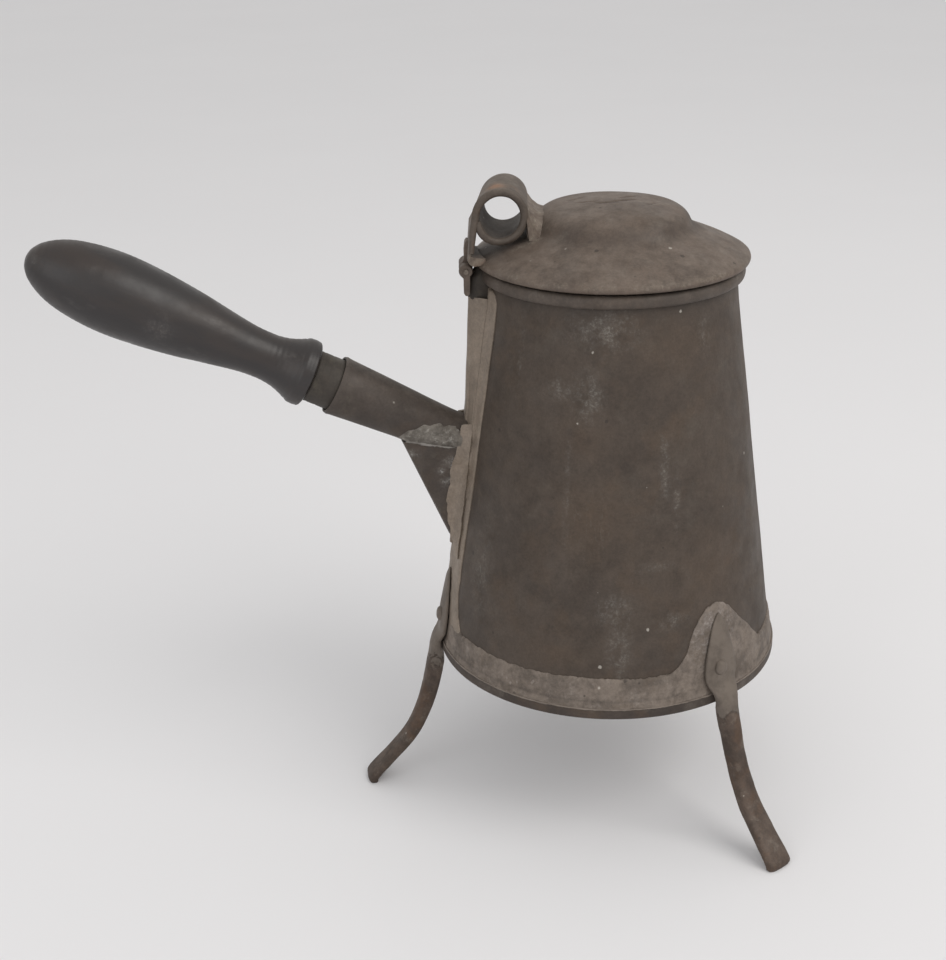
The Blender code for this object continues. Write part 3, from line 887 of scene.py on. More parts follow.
@dataclass(frozen=True)
class WoodFinish:
    """Nearly black finish on a turned wooden grip, rubbed by hands."""

    name: str = "blackened_wood"
    base: Colour = (0.022, 0.019, 0.019)
    brown: Colour = (0.031, 0.023, 0.020)
    bare: Colour = (0.16, 0.145, 0.135)
    rise: float = math.radians(27.42)

    def build(self, fx: Effects) -> bpy.types.Material:
        """Make the material.

        Args:
            fx: The shared effects.

        Returns:
            The finished material.
        """
        material = bpy.data.materials.new(self.name)
        material.use_nodes = True
        g = Graph(material.node_tree)
        shader = material.node_tree.nodes["Principled BSDF"]
        at = g.add("ShaderNodeTexCoord").outputs["Object"]
        level = g.add("ShaderNodeVectorRotate", {"Vector": at, "Angle": -self.rise},
                      rotation_type="Y_AXIS").outputs[0]
        fibre = g.noise(g.stretch(level, (0.07, 1.0, 1.0)), 900.0, 4.0, 0.6)
        broad = g.noise(g.stretch(level, (0.3, 1.0, 1.0)), 60.0, 4.0, 0.6)
        tone = g.mix(g.step(broad, 0.42, 0.66), shade(self.base), shade(self.brown))
        tone = g.mix(g.times(g.step(fibre, 0.45, 0.8), 0.35), tone, shade(self.brown))
        haze = g.step(g.noise(g.stretch(level, (0.5, 1.0, 1.0)), 75.0, 5.0, 0.7), 0.58, 0.8)
        tone = g.layer(tone, haze, 0.35, self.bare)
        marks = fx.use(g, fx.scratches, level, Scale=200.0, Cover=0.35)
        tone = g.layer(tone, marks, 0.3, self.bare)
        worn = fx.use(g, fx.faded, at, Break=0.9)
        tone = g.layer(tone, worn, 0.45, self.bare)
        rough = g.add("ShaderNodeMapRange", {
            "Value": g.noise(level, 120.0, 4.0, 0.6), "From Min": 0.3, "From Max": 0.7,
            "To Min": 0.30, "To Max": 0.5}).outputs["Result"]
        height = g.plus(g.times(fibre, 0.00003), g.times(g.noise(at, 240.0, 3.0), 0.00006))
        bump = g.add("ShaderNodeBump", {"Height": height, "Distance": 1.0, "Strength": 1.0})
        g.feed(shader.inputs["Base Color"], tone)
        g.feed(shader.inputs["Roughness"], rough)
        g.feed(shader.inputs["Normal"], bump.outputs["Normal"])
        return material


class Finishes:
    """Every material of the pot."""

    def __init__(self, fx: Effects) -> None:
        """Build the materials.

        Args:
            fx: The shared effects.
        """
        rust = (0.085, 0.055, 0.034)
        brown = dict(rust=rust, pit_share=0.10, metallic=0.22)
        self.wall = MetalFinish(
            "browned_wall", (0.067, 0.050, 0.038), (0.046, 0.034, 0.026), (0.105, 0.090, 0.072),
            dark_share=0.7, pale_share=0.22, rust_share=0.35, speck_share=0.16, scratch=0.8,
            dust=0.05, wear=0.35, faded=(0.20, 0.185, 0.165), **brown).build(fx)
        self.lid = MetalFinish(
            "browned_lid", (0.131, 0.099, 0.078), (0.084, 0.063, 0.050), (0.20, 0.172, 0.146),
            dark_share=0.85, rust_share=0.3, pale_share=0.3, speck_share=0.14, scratch=0.3,
            dust=0.3, wear=0.4, faded=(0.27, 0.235, 0.19), **brown).build(fx)
        self.socket = MetalFinish(
            "browned_socket", (0.066, 0.052, 0.043), (0.044, 0.034, 0.028),
            (0.125, 0.106, 0.080), rust_share=0.3, pale_share=0.3, speck_share=0.05, coated=True,
            coat_base=(0.30, 0.282, 0.258), coat_dark=(0.13, 0.112, 0.096), wear=0.4,
            coat_rag=0.9, faded=(0.42, 0.41, 0.39),
            **brown).build(fx)
        self.base = MetalFinish(
            "browned_base", (0.060, 0.045, 0.036), (0.036, 0.027, 0.022), (0.14, 0.12, 0.10),
            coated=True, wear=0.4, dust=0.0, coat_height=0.0003, **brown).build(fx)
        self.rim = MetalFinish(
            "browned_rim", (0.090, 0.071, 0.058), (0.056, 0.044, 0.036), (0.19, 0.165, 0.14),
            rust_share=0.25, wear=0.5, dust=0.2, scratch=0.2, **brown).build(fx)
        self.ferrule = MetalFinish(
            "browned_ferrule", (0.043, 0.035, 0.028), (0.030, 0.024, 0.019),
            (0.095, 0.080, 0.058), rust_share=0.3, wear=0.4, dust=0.1, **brown).build(fx)
        self.loop = MetalFinish(
            "browned_loop", (0.120, 0.095, 0.076), (0.072, 0.056, 0.045), (0.215, 0.18, 0.145),
            rust_share=0.2, pale_share=0.35, wear=0.6, dust=0.4, rust=(0.33, 0.17, 0.09),
            speck_share=0.06).build(fx)
        self.solder = MetalFinish(
            "dull_solder", (0.186, 0.152, 0.126), (0.088, 0.070, 0.057), (0.29, 0.25, 0.22),
            (0.11, 0.080, 0.055), dark_share=0.75, faded=(0.285, 0.255, 0.24), pale_share=0.4,
            rust_share=0.35, patch=95.0, metallic=0.2, speck_share=0.07, scratch=0.6,
            wear=0.6, dust=0.1,
            rough=(0.55, 0.78), waves=1.6, pits=1.8, pit_share=0.22).build(fx)
        self.smear = MetalFinish(
            "bright_solder", (0.178, 0.160, 0.138), (0.085, 0.073, 0.061), (0.36, 0.34, 0.31),
            (0.11, 0.09, 0.07), dark_share=0.85, pale_share=0.8, rust_share=0.3, patch=190.0,
            metallic=0.2, speck_share=0.3, wear=0.7, waves=2.2, pits=2.6,
            pit_share=0.3).build(fx)
        self.strap = MetalFinish(
            "soldered_strap", (0.232, 0.188, 0.150), (0.165, 0.133, 0.106),
            (0.30, 0.262, 0.215), (0.15, 0.108, 0.07), dark_share=0.6, pale_share=0.35,
            rust_share=0.3, metallic=0.2, speck_share=0.04, wear=0.5, dust=0.1,
            pit_share=0.12).build(fx)
        self.iron = MetalFinish(
            "forged_iron", (0.088, 0.062, 0.047), (0.046, 0.032, 0.024), (0.19, 0.158, 0.13),
            (0.092, 0.052, 0.030), dark_share=0.8, pale_share=0.45, rust_share=0.6, patch=90.0,
            speck_share=0.10, wear=0.8, scratch=0.3, waves=2.0, pits=2.0, coated=True,
            coat_base=(0.150, 0.123, 0.101), coat_dark=(0.078, 0.062, 0.050),
            coat_rag=1.1).build(fx)
        self.wood = WoodFinish().build(fx)


# ---------------------------------------------------------------- the vessel


@dataclass
class Vessel:
    """Tapered wall, rim bead and bottom."""

    datum: Datum
    finishes: Finishes
    sheet: float = 0.8
    steps: int = 300
    bead_r: float = 46.0
    bead_half: Point2 = (1.75, 2.45)
    base_r: float = 65.45
    faded_marks: Sequence[Mark] = (
        (-105.0, 197.0, 10.0, 6.5, 1.0), (-98.0, 201.0, 6.0, 4.0, 0.8),
        (-123.0, 176.0, 4.0, 3.0, 0.9), (-111.0, 174.0, 4.5, 7.5, 1.0),
        (-81.0, 148.0, 1.6, 11.0, 0.9), (-76.5, 137.0, 1.1, 9.0, 1.0),
        (-98.0, 84.0, 3.5, 10.0, 1.0), (-100.0, 98.0, 6.0, 5.0, 0.8),
        (-86.0, 113.5, 6.0, 0.8, 0.9), (-143.0, 187.0, 1.2, 9.0, 0.6),
        (-59.0, 193.0, 3.0, 5.0, 0.6), (-80.0, 93.0, 6.0, 2.5, 0.7),
        (-154.0, 102.0, 5.0, 16.0, 0.5), (-118.0, 140.0, 1.0, 22.0, 0.5),
        (95.0, 150.0, 14.0, 26.0, 0.7), (40.0, 178.0, 9.0, 14.0, 0.7),
        (130.0, 110.0, 10.0, 16.0, 0.6), (5.0, 120.0, 9.0, 22.0, 0.6))
    burnt_marks: Sequence[Mark] = (
        (-110.0, 131.0, 13.0, 13.0, 0.75), (-113.0, 160.0, 9.0, 10.0, 0.55),
        (-72.0, 190.0, 20.0, 9.0, 0.45), (-62.0, 108.0, 14.0, 18.0, 0.45),
        (-118.0, 80.0, 14.0, 6.0, 0.5), (70.0, 130.0, 22.0, 20.0, 0.6),
        (0.0, 170.0, 18.0, 14.0, 0.5))
    dark_marks: Sequence[Mark] = (
        (-124.0, 132.5, 1.2, 1.2, 0.9), (-118.0, 161.5, 1.4, 1.4, 0.8),
        (-96.0, 150.0, 2.5, 5.0, 0.35), (-130.0, 112.0, 8.0, 9.0, 0.3),
        (-85.0, 80.0, 12.0, 5.0, 0.35))
    lap_top_z: float = 62.0

    def wall_shape(self, angle: float, rho: float, z: float) -> Point2:
        """Dents of the wall, always inwards, that fade out at both ends.

        Args:
            angle: Angle about the axis, in degrees.
            rho: Distance from the axis.
            z: Height.

        Returns:
            The dented rho and z.
        """
        a = math.radians(angle)
        place = Vector((rho * math.cos(a), rho * math.sin(a), z * 0.8))
        ends = min(1.0, max(0.0, (z - self.datum.wall_low_z) / 14.0),
                   max(0.0, (self.datum.wall_high_z - z) / 8.0))
        inwards = 0.22 * (1.0 + ragged(place, 38.0, 2)) + 0.05 * ragged(place, 7.0, 2)
        return rho - max(inwards, 0.0) * ends, z

    def build_wall(self) -> None:
        """Sheet wall with shallow dents."""
        rows = 96
        low, high = self.datum.wall_low_z, self.datum.wall_high_z
        into_bead = high + 1.0
        heights = [into_bead + (low - into_bead) * i / rows for i in range(rows + 1)]
        outline = [(self.datum.wall_r(z), z) for z in heights]
        outline += [(self.datum.wall_r(z) - self.sheet, z) for z in reversed(heights)]
        shell = turned(self.datum, outline, self.steps, self.wall_shape)
        shell.lay("faded", lambda p: self.marks_at(p, self.faded_marks))
        shell.lay("burnt", lambda p: self.marks_at(p, self.burnt_marks))
        # Painted shadow just under the rim bead, plus a few dark marks on the wall
        shell.lay("shade_and_grime", lambda p: 0.55 * bell(p.z, high, 2.2)
                  + self.marks_at(p, self.dark_marks))
        make_piece("wall_skin", shell, self.finishes.wall, Body.VESSEL,
                   ["body_wall"])

    def marks_at(self, point: Vector, marks: Sequence[Mark]) -> float:
        """Strongest of several soft marks at a place on the wall.

        Args:
            point: Place, in millimetres.
            marks: Angle, height, half-width, half-height and strength of each.

        Returns:
            The mark's strength there.
        """
        around = math.degrees(math.atan2(point.y, point.x - self.datum.axis_x))
        best = 0.0
        for angle, z, half_wide, half_high, strength in marks:
            away = (around - angle + 180.0) % 360.0 - 180.0
            across = math.radians(away) * self.datum.wall_r(point.z) / half_wide
            upright = (point.z - z) / half_high
            best = max(best, strength * math.exp(-across ** 2 - upright ** 2))
        return best

    def build_rim(self) -> None:
        """Rolled bead with a hem line under it."""
        low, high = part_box("rim_roll")
        middle = (low.z + high.z) / 2 / MM
        half_r, half_z = self.bead_half
        outline = []
        sides = 36
        for k in range(sides):
            a = -TURN * k / sides
            tuck = 0.35 * bell(math.degrees(a) % 360, 282.0, 14.0)
            outline.append((self.bead_r + (half_r - tuck) * math.cos(a),
                            middle + (half_z - tuck) * math.sin(a)))

        def uneven(angle: float, rho: float, z: float) -> Point2:
            """Small waves of a bead rolled by hand.

            Args:
                angle: Angle about the axis, in degrees.
                rho: Distance from the axis.
                z: Height.

            Returns:
                The uneven rho and z.
            """
            a = math.radians(angle)
            wave = ragged(Vector((60 * math.cos(a), 60 * math.sin(a), 3.0)), 17.0, 2)
            return rho - 0.06 * (1 + wave), z + 0.07 * wave * (1 if z < middle else 0)

        make_piece("rim_bead", turned(self.datum, outline, self.steps, uneven),
                   self.finishes.rim, Body.VESSEL, ["rim_roll"])
        dress_node("rim_wire", self.finishes.iron)

    def build_bottom(self) -> None:
        """Bottom disc with its edge lapped up round the wall."""
        low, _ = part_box("base_plate")
        under = low.z / MM
        r = self.base_r
        outline = [(0.0, under + self.sheet), (58.0, under + self.sheet),
                   (64.3, under + self.sheet + 0.3), (64.75, under + 1.6),
                   (64.8, self.lap_top_z - 0.05), (65.0, self.lap_top_z), (r - 0.12, 61.85),
                   (r, 61.4)]
        outline += [(r - 0.03, 60.6), (r - 0.02, 59.8), (r, 58.9)]
        outline += [(r - 0.08, under + 0.75), (r - 0.3, under + 0.3), (r - 0.75, under + 0.04),
                    (r - 1.3, under), (r - 4.6, under), (r - 5.0, under + 0.12),
                    (r - 5.6, under + 0.12), (r - 6.0, under), (28.0, under),
                    (27.5, under + 0.08), (26.9, under), (0.0, under)]
        shell = turned(self.datum, outline, self.steps, closed=False)
        shell.lay("coat", lambda p: (p.z - 59.9) / 3.2 if math.hypot(
            p.x - self.datum.axis_x, p.y) > r - 0.6 else 0.0)
        make_piece("bottom_disc", shell, self.finishes.base, Body.VESSEL,
                   ["base_plate"], 50.0)

    def build(self) -> None:
        """Build every piece."""
        self.build_wall()
        self.build_rim()
        self.build_bottom()


@dataclass
class SolderWork:
    """Ragged solder on the wall: a band round the foot, patches at the legs, a seam strip."""

    datum: Datum
    finishes: Finishes
    low_z: float = 61.7
    band_z: float = 72.8
    thickness: float = 0.55
    front_patch: Table = ((-23.0, 0.0), (-19.0, 2.6), (-16.2, 6.0), (-14.2, 11.5),
                          (-12.4, 15.2), (-9.2, 18.8), (-6.0, 21.8), (-1.5, 22.6), (2.0, 21.0),
                          (5.0, 19.6), (8.5, 15.4), (12.5, 11.4), (16.0, 8.6), (19.0, 5.2),
                          (24.0, 0.0))
    far_patch: Table = ((-21.0, 0.0), (-15.5, 3.5), (-12.0, 9.0), (-8.5, 15.0), (-4.5, 20.0),
                        (-1.0, 22.3), (4.5, 22.6), (8.0, 19.8), (11.5, 15.0), (14.8, 9.0),
                        (17.5, 3.5), (22.0, 0.0))
    strip_half: Table = ((72.0, 19.0), (78.0, 14.5), (85.0, 12.8), (97.0, 12.0), (110.0, 12.6),
                         (125.0, 13.4), (160.0, 13.9), (190.0, 14.2), (199.0, 13.6),
                         (201.6, 11.6), (202.8, 8.6))

    def band_top(self, angle: float) -> float:
        """Height of the ragged upper edge at an angle in degrees.

        Args:
            angle: Angle about the axis.

        Returns:
            The height.
        """
        top = self.band_z
        for centre, patch in ((-60.0, self.front_patch), (60.0, self.far_patch)):
            away = (angle - centre + 180.0) % 360.0 - 180.0
            rise = interpolate(patch, math.radians(away) * 63.0)
            top += max(rise, 0.0)
        a = math.radians(angle)
        place = Vector((64 * math.cos(a), 64 * math.sin(a), 20.0))
        return top + 0.65 * ragged(place, 16.0, 3) + 0.5 * ragged(place, 3.2, 3)

    def thick_at(self, place: Vector, inside: float) -> float:
        """Thickness of the solder, thinning out over its last millimetre.

        Args:
            place: Place on the wall.
            inside: Distance in from the edge, in millimetres.

        Returns:
            Thickness in millimetres.
        """
        edge = 1.0 - math.exp(-max(inside, 0.0) / 0.45)
        lumps = 1.0 + 0.4 * ragged(place, 9.0, 2) + 0.22 * ragged(place, 2.2, 2)
        return max(self.thickness * edge * lumps, 0.05)

    def build_band(self) -> None:
        """Band and leg patches as one skin."""
        columns, rows = 1320, 22
        outer: list[list[Vector]] = [[] for _ in range(rows + 1)]
        inner: list[list[Vector]] = [[] for _ in range(rows + 1)]
        for j in range(columns):
            angle = 360.0 * j / columns
            top = self.band_top(angle)
            slope = abs(self.band_top(angle + 0.5) - self.band_top(angle - 0.5)) / 1.1
            for i in range(rows + 1):
                share = (i / rows) ** 0.7
                z = self.low_z + (top - self.low_z) * share
                inside = (top - z) / math.sqrt(1.0 + slope ** 2)
                place = self.datum.around(angle, self.datum.wall_r(z), z)
                thick = self.thick_at(place, inside)
                lap = 0.25 * bell(z, self.low_z, 1.2)
                outer[i].append(self.datum.around(
                    angle, min(self.datum.wall_r(z) + thick + lap, 65.45), z))
                inner[i].append(self.datum.around(angle, self.datum.wall_r(z) - 0.5, z))
        shell = double_sheet(outer, inner, wrap=True)
        shell.lay("shade_and_grime", lambda p: 0.5 * bell(p.z, 64.6, 0.5) + 0.35 * max(
            0.0, ragged(p, 11.0, 3)) * bell(p.z, 67.0, 5.0))
        bright = self.datum.around(-64.0, self.datum.wall_r(86.0), 86.0)
        shell.lay("faded", lambda p: 1.3 * bell((p - bright).length, 0.0, 10.0))
        make_piece("band_solder", shell, self.finishes.solder, Body.VESSEL,
                   ["solder_band", "leg_solder_front", "leg_solder_far"])

    def build_strip(self) -> None:
        """Long strip of solder up the handle's side, under the strap's feet."""
        rows, columns = 260, 56
        low, high = self.band_z - 1.5, self.strip_half[-1][0]
        outer, inner = [], []
        for i in range(rows + 1):
            z = low + (high - low) * i / rows
            rho = self.datum.wall_r(z)
            rag = interpolate(((74.0, 1.0), (100.0, 0.55), (125.0, 0.22), (200.0, 0.15)), z)
            half = interpolate(self.strip_half, z)
            left = half + rag * ragged(Vector((0.0, 5.0, z)), 9.0, 4)
            right = half + rag * ragged(Vector((0.0, 90.0, z)), 9.0, 4)
            out_row, in_row = [], []
            for j in range(columns + 1):
                across = -left + (left + right) * j / columns
                inside = min(across + left, right - across, 3.0 * (high - z) + 0.02)
                angle = HANDLE_ANGLE + math.degrees(across / rho)
                thick = self.thick_at(self.datum.around(angle, rho, z), inside)
                fillet = 0.75 * bell(abs(across), 8.6, 1.1) * (1.0 if z > 124.0 else 0.0)
                out_row.append(self.datum.around(angle, rho + 0.85 * thick + fillet, z))
                in_row.append(self.datum.around(angle, rho - 0.5, z))
            outer.append(out_row)
            inner.append(in_row)
        make_piece("strip_solder", double_sheet(outer, inner), self.finishes.strap, Body.VESSEL,
                   ["seam_solder", "leg_solder_handle"])

    def build(self) -> None:
        """Build every piece."""
        self.build_band()
        self.build_strip()


@dataclass
class BackStrap:
    """Folded strap that stands off the wall and carries the hinge."""

    datum: Datum
    finishes: Finishes
    low_z: float = 124.6
    crown: Table = ((125.0, 57.2), (130.0, 57.0), (144.0, 55.5), (159.0, 53.9), (170.5, 53.5),
                    (180.0, 53.0), (190.0, 52.7), (199.2, 52.3))
    crown_half: float = 3.6
    foot_half: float = 8.2
    sheet: float = 0.8
    skew: float = 0.13

    def section(self, z: float, level: float) -> list[Vector]:
        """Half-round folded line across the strap.

        Args:
            z: Height.
            level: Distance of the line from the strap's outer face, inwards.

        Returns:
            Points from the near foot over the crown to the far foot.
        """
        crown = interpolate(self.crown, z) - level
        askew = self.skew * self.crown_half * max(z - 125.0, 0.0) / 74.0
        foot = self.datum.wall_r(z) + 0.75 - level * 0.6
        half = self.crown_half - level * 0.8
        corners = [(-self.foot_half, foot - 0.25), (-self.foot_half + 0.6, foot + 0.1),
                   (-half - 0.5, crown - 1.0), (-half + 0.35, crown - 0.12), (0.0, crown - askew),
                   (half - 0.35, crown - 2 * askew - 0.12), (half + 0.5, crown - 2 * askew - 1.0),
                   (self.foot_half - 0.6, foot + 0.1), (self.foot_half, foot - 0.25)]
        line = smooth_line(corners, 5)
        wobble = 0.10 * ragged(Vector((3.0, 11.0, z)), 13.0, 2)
        return [self.datum.behind(rho + wobble, y, z) for y, rho in line]

    def build(self) -> None:
        """Build the strap."""
        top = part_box("back_spine")[1].z / MM
        rows = 120
        heights = [self.low_z + (top - self.low_z) * i / rows for i in range(rows + 1)]
        shell = double_sheet([self.section(z, 0.0) for z in heights],
                             [self.section(z, self.sheet) for z in heights])
        make_piece("hinge_strap", shell, self.finishes.strap, Body.VESSEL,
                   ["back_spine"])
        self.build_top(top)

    def build_top(self, top: float) -> None:
        """Lumpy solder that closes the strap's channel under the rim.

        Args:
            top: Height of the strap's top.
        """
        rings = []
        for z, share, front in ((top - 2.4, 0.96, -0.9), (top - 0.4, 1.0, -0.3),
                                (top + 1.4, 1.0, 0.1), (top + 3.4, 1.0, 0.3),
                                (top + 5.6, 1.0, 0.2), (top + 7.2, 0.96, -0.3),
                                (top + 8.2, 0.9, -1.8), (top + 9.0, 0.8, -2.5),
                                (top + 9.9, 0.65, -2.8), (top + 10.2, 0.5, -3.2)):
            inner = self.datum.wall_r(z) - 0.3
            outer = interpolate(self.crown, z) + front
            ring = []
            for k in range(33):
                a = math.pi * k / 32
                y = -5.4 * share * math.copysign(abs(math.cos(a)) ** 0.7, math.cos(a))
                rho = inner + (outer - inner) * math.sin(a) ** 0.6
                lump = 0.2 * ragged(Vector((rho, y, z)), 3.5, 3) * math.sin(a)
                ring.append(self.datum.behind(rho + lump - self.skew * y * math.sin(a), y, z))
            rings.append(ring)
        make_piece("strap_stop", loft(rings), self.finishes.ferrule, Body.VESSEL,
                   sharp=60.0)


@dataclass
class Hinge:
    """Lid leaf and vessel plate, rolled round one pin that stands askew."""

    datum: Datum
    finishes: Finishes
    pin: Point2 = (52.47, 209.3)
    skew: float = 0.13
    barrel: float = 2.45
    leaf_up: Table = ((-2.9, 1.3), (-3.0, 5.0), (-2.4, 8.6), (-1.4, 9.8), (-0.3, 9.9),
                      (0.35, 9.1), (0.6, 6.0), (0.7, 3.6))
    plate_down: Table = ((0.9, -2.6), (0.85, -5.0), (0.8, -8.0), (0.2, -8.8), (-0.9, -8.8),
                         (-1.4, -8.0), (-1.45, -5.0), (-1.5, -2.6))

    def knuckle(self, name: str, spans: Sequence[Point2], tongue: Table, up: bool) -> Shell:
        """Barrels with the tongue they are rolled from.

        Args:
            name: Name that seeds the unevenness.
            spans: First and last y of each barrel.
            tongue: Outline of the tongue from the pin's centre.
            up: Whether the tongue rises.

        Returns:
            All the barrels as one shell.
        """
        first, last = (50.0, -215.0) if up else (-130.0, -410.0)
        outline = list(tongue)
        for k in range(25):
            a = math.radians(first + (last - first) * k / 24)
            outline.append((self.barrel * math.cos(a), self.barrel * math.sin(a)))
        whole = Shell()
        for low, high in spans:
            rings = []
            for i in range(9):
                y = low + (high - low) * i / 8
                round_off = 0.86 if i in (0, 8) else 1.0
                ring = []
                for u, v in outline:
                    lump = 0.16 * ragged(Vector((u + len(name), y, v)), 3.2, 3)
                    ring.append(self.datum.behind(
                        self.pin[0] - self.skew * y + u * round_off + lump, y + self.skew * u,
                        self.pin[1] + v * (round_off if math.hypot(u, v) < 2.6 else 1.0) + lump))
                rings.append(ring)
            part = loft(rings)
            base = len(whole.points)
            whole.points += part.points
            whole.faces += [tuple(base + k for k in face) for face in part.faces]
        return whole

    def build(self) -> None:
        """Build both halves."""
        leaf = self.knuckle("leaf", ((-2.35, 2.35),), self.leaf_up, True)
        make_piece("hinge_leaf_lid", leaf, self.finishes.lid, Body.LID,
                   ["lid_hinge_leaf"])
        plate = self.knuckle("vessel_plate", ((-6.9, -2.7), (2.7, 6.9)), self.plate_down, False)
        make_piece("hinge_plate_vessel", plate, self.finishes.lid, Body.VESSEL,
                   ["hinge_plate"])
        dress_node("hinge_pin", self.finishes.iron, 0.15)


@dataclass
class Handle:
    """Socket with its solder and brace, ferrule and turned grip."""

    datum: Datum
    finishes: Finishes
    strap: BackStrap
    mouth: float = 52.4
    sheet: float = 0.85
    root_sunk: float = 1.5
    ferrule: tuple[float, float, float] = (44.0, 61.8, 9.47)
    smear_low: Table = ((0.6, 86.0), (6.0, 74.0), (12.0, 58.0), (18.0, 40.0), (23.6, 22.0))
    smear_high: Table = ((0.6, 112.0), (4.0, 118.0), (9.0, 122.0), (13.0, 114.0), (18.0, 96.0),
                         (22.5, 70.0), (23.6, 44.0))
    socket_line: Table = ((-10.0, 7.4), (0.0, 7.84), (27.5, 9.4), (47.0, 10.55), (52.4, 10.85))
    grip_line: Table = ((62.0, 11.2), (62.5, 12.0), (63.4, 12.25), (65.2, 12.3), (66.6, 12.05),
                        (68.2, 11.25), (70.4, 10.25), (73.2, 9.3), (76.0, 8.75), (79.5, 8.5),
                        (84.5, 8.6), (90.0, 9.25), (97.7, 10.5), (105.4, 11.8), (113.2, 12.85),
                        (121.0, 13.7), (128.6, 14.25), (135.0, 14.4), (141.0, 14.1),
                        (147.0, 13.35), (152.5, 12.2), (157.0, 10.65), (161.0, 8.5),
                        (164.0, 6.1), (165.8, 3.6), (166.5, 1.6), (166.7, 0.0))

    def socket_r(self, s: float) -> float:
        """Outer radius of the socket along the handle."""
        return interpolate(self.socket_line, s)

    def root_s(self, angle: float, inset: float) -> float:
        """Where a line along the socket's wall meets the strap's crown.

        Args:
            angle: Angle round the handle from its underside, in radians.
            inset: Thickness taken off the socket's radius.

        Returns:
            Distance along the handle.
        """
        s = 0.0
        for _ in range(6):
            drop = (self.socket_r(s) - inset) * math.cos(angle)
            z = self.datum.root_z + s * math.sin(self.datum.rise) - drop * math.cos(
                self.datum.rise)
            rho = interpolate(self.strap.crown, z) - 0.25
            s = (rho - self.datum.root_rho - drop * math.sin(self.datum.rise)) / math.cos(
                self.datum.rise)
        return s

    def build_socket(self) -> None:
        """Tapered sheet socket that flares into the strap."""
        steps, rows = 120, 70
        outer, inner = [], []
        for i in range(rows + 1):
            share = (i / rows) ** 1.25
            out_row, in_row = [], []
            for j in range(steps):
                a = TURN * j / steps
                for row, inset in ((out_row, 0.0), (in_row, self.sheet)):
                    start = self.root_s(a, inset) - self.root_sunk * abs(math.sin(a))
                    s = start + (self.mouth - start) * share
                    r = self.socket_r(s) - inset
                    place = self.datum.handle(s, r * math.cos(a), r * math.sin(a))
                    if inset == 0.0:
                        flare = (0.9 + 0.5 * math.cos(a)) * 1.3 * math.exp(-(s - start) / 2.3)
                        lumps = 1 + 0.35 * ragged(place, 3.0, 2)
                        rolled = 0.16 * bell(s, self.mouth - 0.9, 0.9)
                        rounded = 0.25 * bell(s, self.mouth, 0.35)
                        r += flare * lumps + 0.10 * ragged(place, 14.0, 2) + rolled - rounded
                    row.append(self.datum.handle(s, r * math.cos(a), r * math.sin(a)))
            outer.append(out_row)
            inner.append(in_row)
        shell = double_sheet(outer, inner, wrap=True)
        shell.lay("coat", lambda p: 0.62 * bell(self.along(p)[0], -0.6, 1.6))
        make_piece("socket_skin", shell, self.finishes.socket, Body.VESSEL,
                   ["handle_socket"])

    def along(self, point: Vector) -> tuple[float, float]:
        """Distance along the handle and drop below its axis of a world place.

        Args:
            point: The place.

        Returns:
            The distance and the drop.
        """
        rho = self.datum.axis_x - point.x - self.datum.root_rho
        rise = point.z - self.datum.root_z
        c, n = math.cos(self.datum.rise), math.sin(self.datum.rise)
        return rho * c + rise * n, rho * n - rise * c

    def build_smears(self) -> None:
        """Raised lumpy solder along both sides of the brace's upper edge."""
        steps, rows = 26, 60
        first_s, last_s = self.smear_low[0][0], self.smear_low[-1][0]
        for name, side, nodes in (("smear_near", -1.0, ["brace_solder_near", "socket_solder"]),
                                  ("smear_far", 1.0, ["brace_solder_far"])):
            outer, inner = [], []
            for i in range(rows + 1):
                share = i / rows
                s = first_s + (last_s - first_s) * share
                ring_out, ring_in = [], []
                rag = ragged(Vector((side * 9, 3.0, s)), 3.6, 4)
                low_a = math.radians(interpolate(self.smear_low, s) - 5.0 - 6.0 * rag)
                rag = ragged(Vector((side * 2, 13.0, s)), 3.6, 4)
                high_a = math.radians(interpolate(self.smear_high, s) + 8.0 * rag)
                for j in range(steps + 1):
                    a = low_a + (high_a - low_a) * j / steps
                    edge = min(j, steps - j) / steps * 2
                    ends = min(share, 1 - share) * 9
                    bulk = 0.8 * min(1.0, edge * 2.2) * min(1.0, ends)
                    r = self.socket_r(s)
                    at = self.datum.handle(s, r * math.cos(a), side * r * math.sin(a))
                    lump = bulk * (0.75 + 0.5 * ragged(at, 3.4, 3))
                    r_out = r + 0.05 + max(lump, 0.0)
                    ring_out.append(self.datum.handle(s, r_out * math.cos(a),
                                                      side * r_out * math.sin(a)))
                    ring_in.append(self.datum.handle(s, (r - 0.4) * math.cos(a),
                                                     side * (r - 0.4) * math.sin(a)))
                outer.append(ring_out)
                inner.append(ring_in)
            make_piece(name, double_sheet(outer, inner), self.finishes.smear, Body.VESSEL,
                       nodes)
            self.build_fillet(name.replace("smear", "brace_fillet"), side)

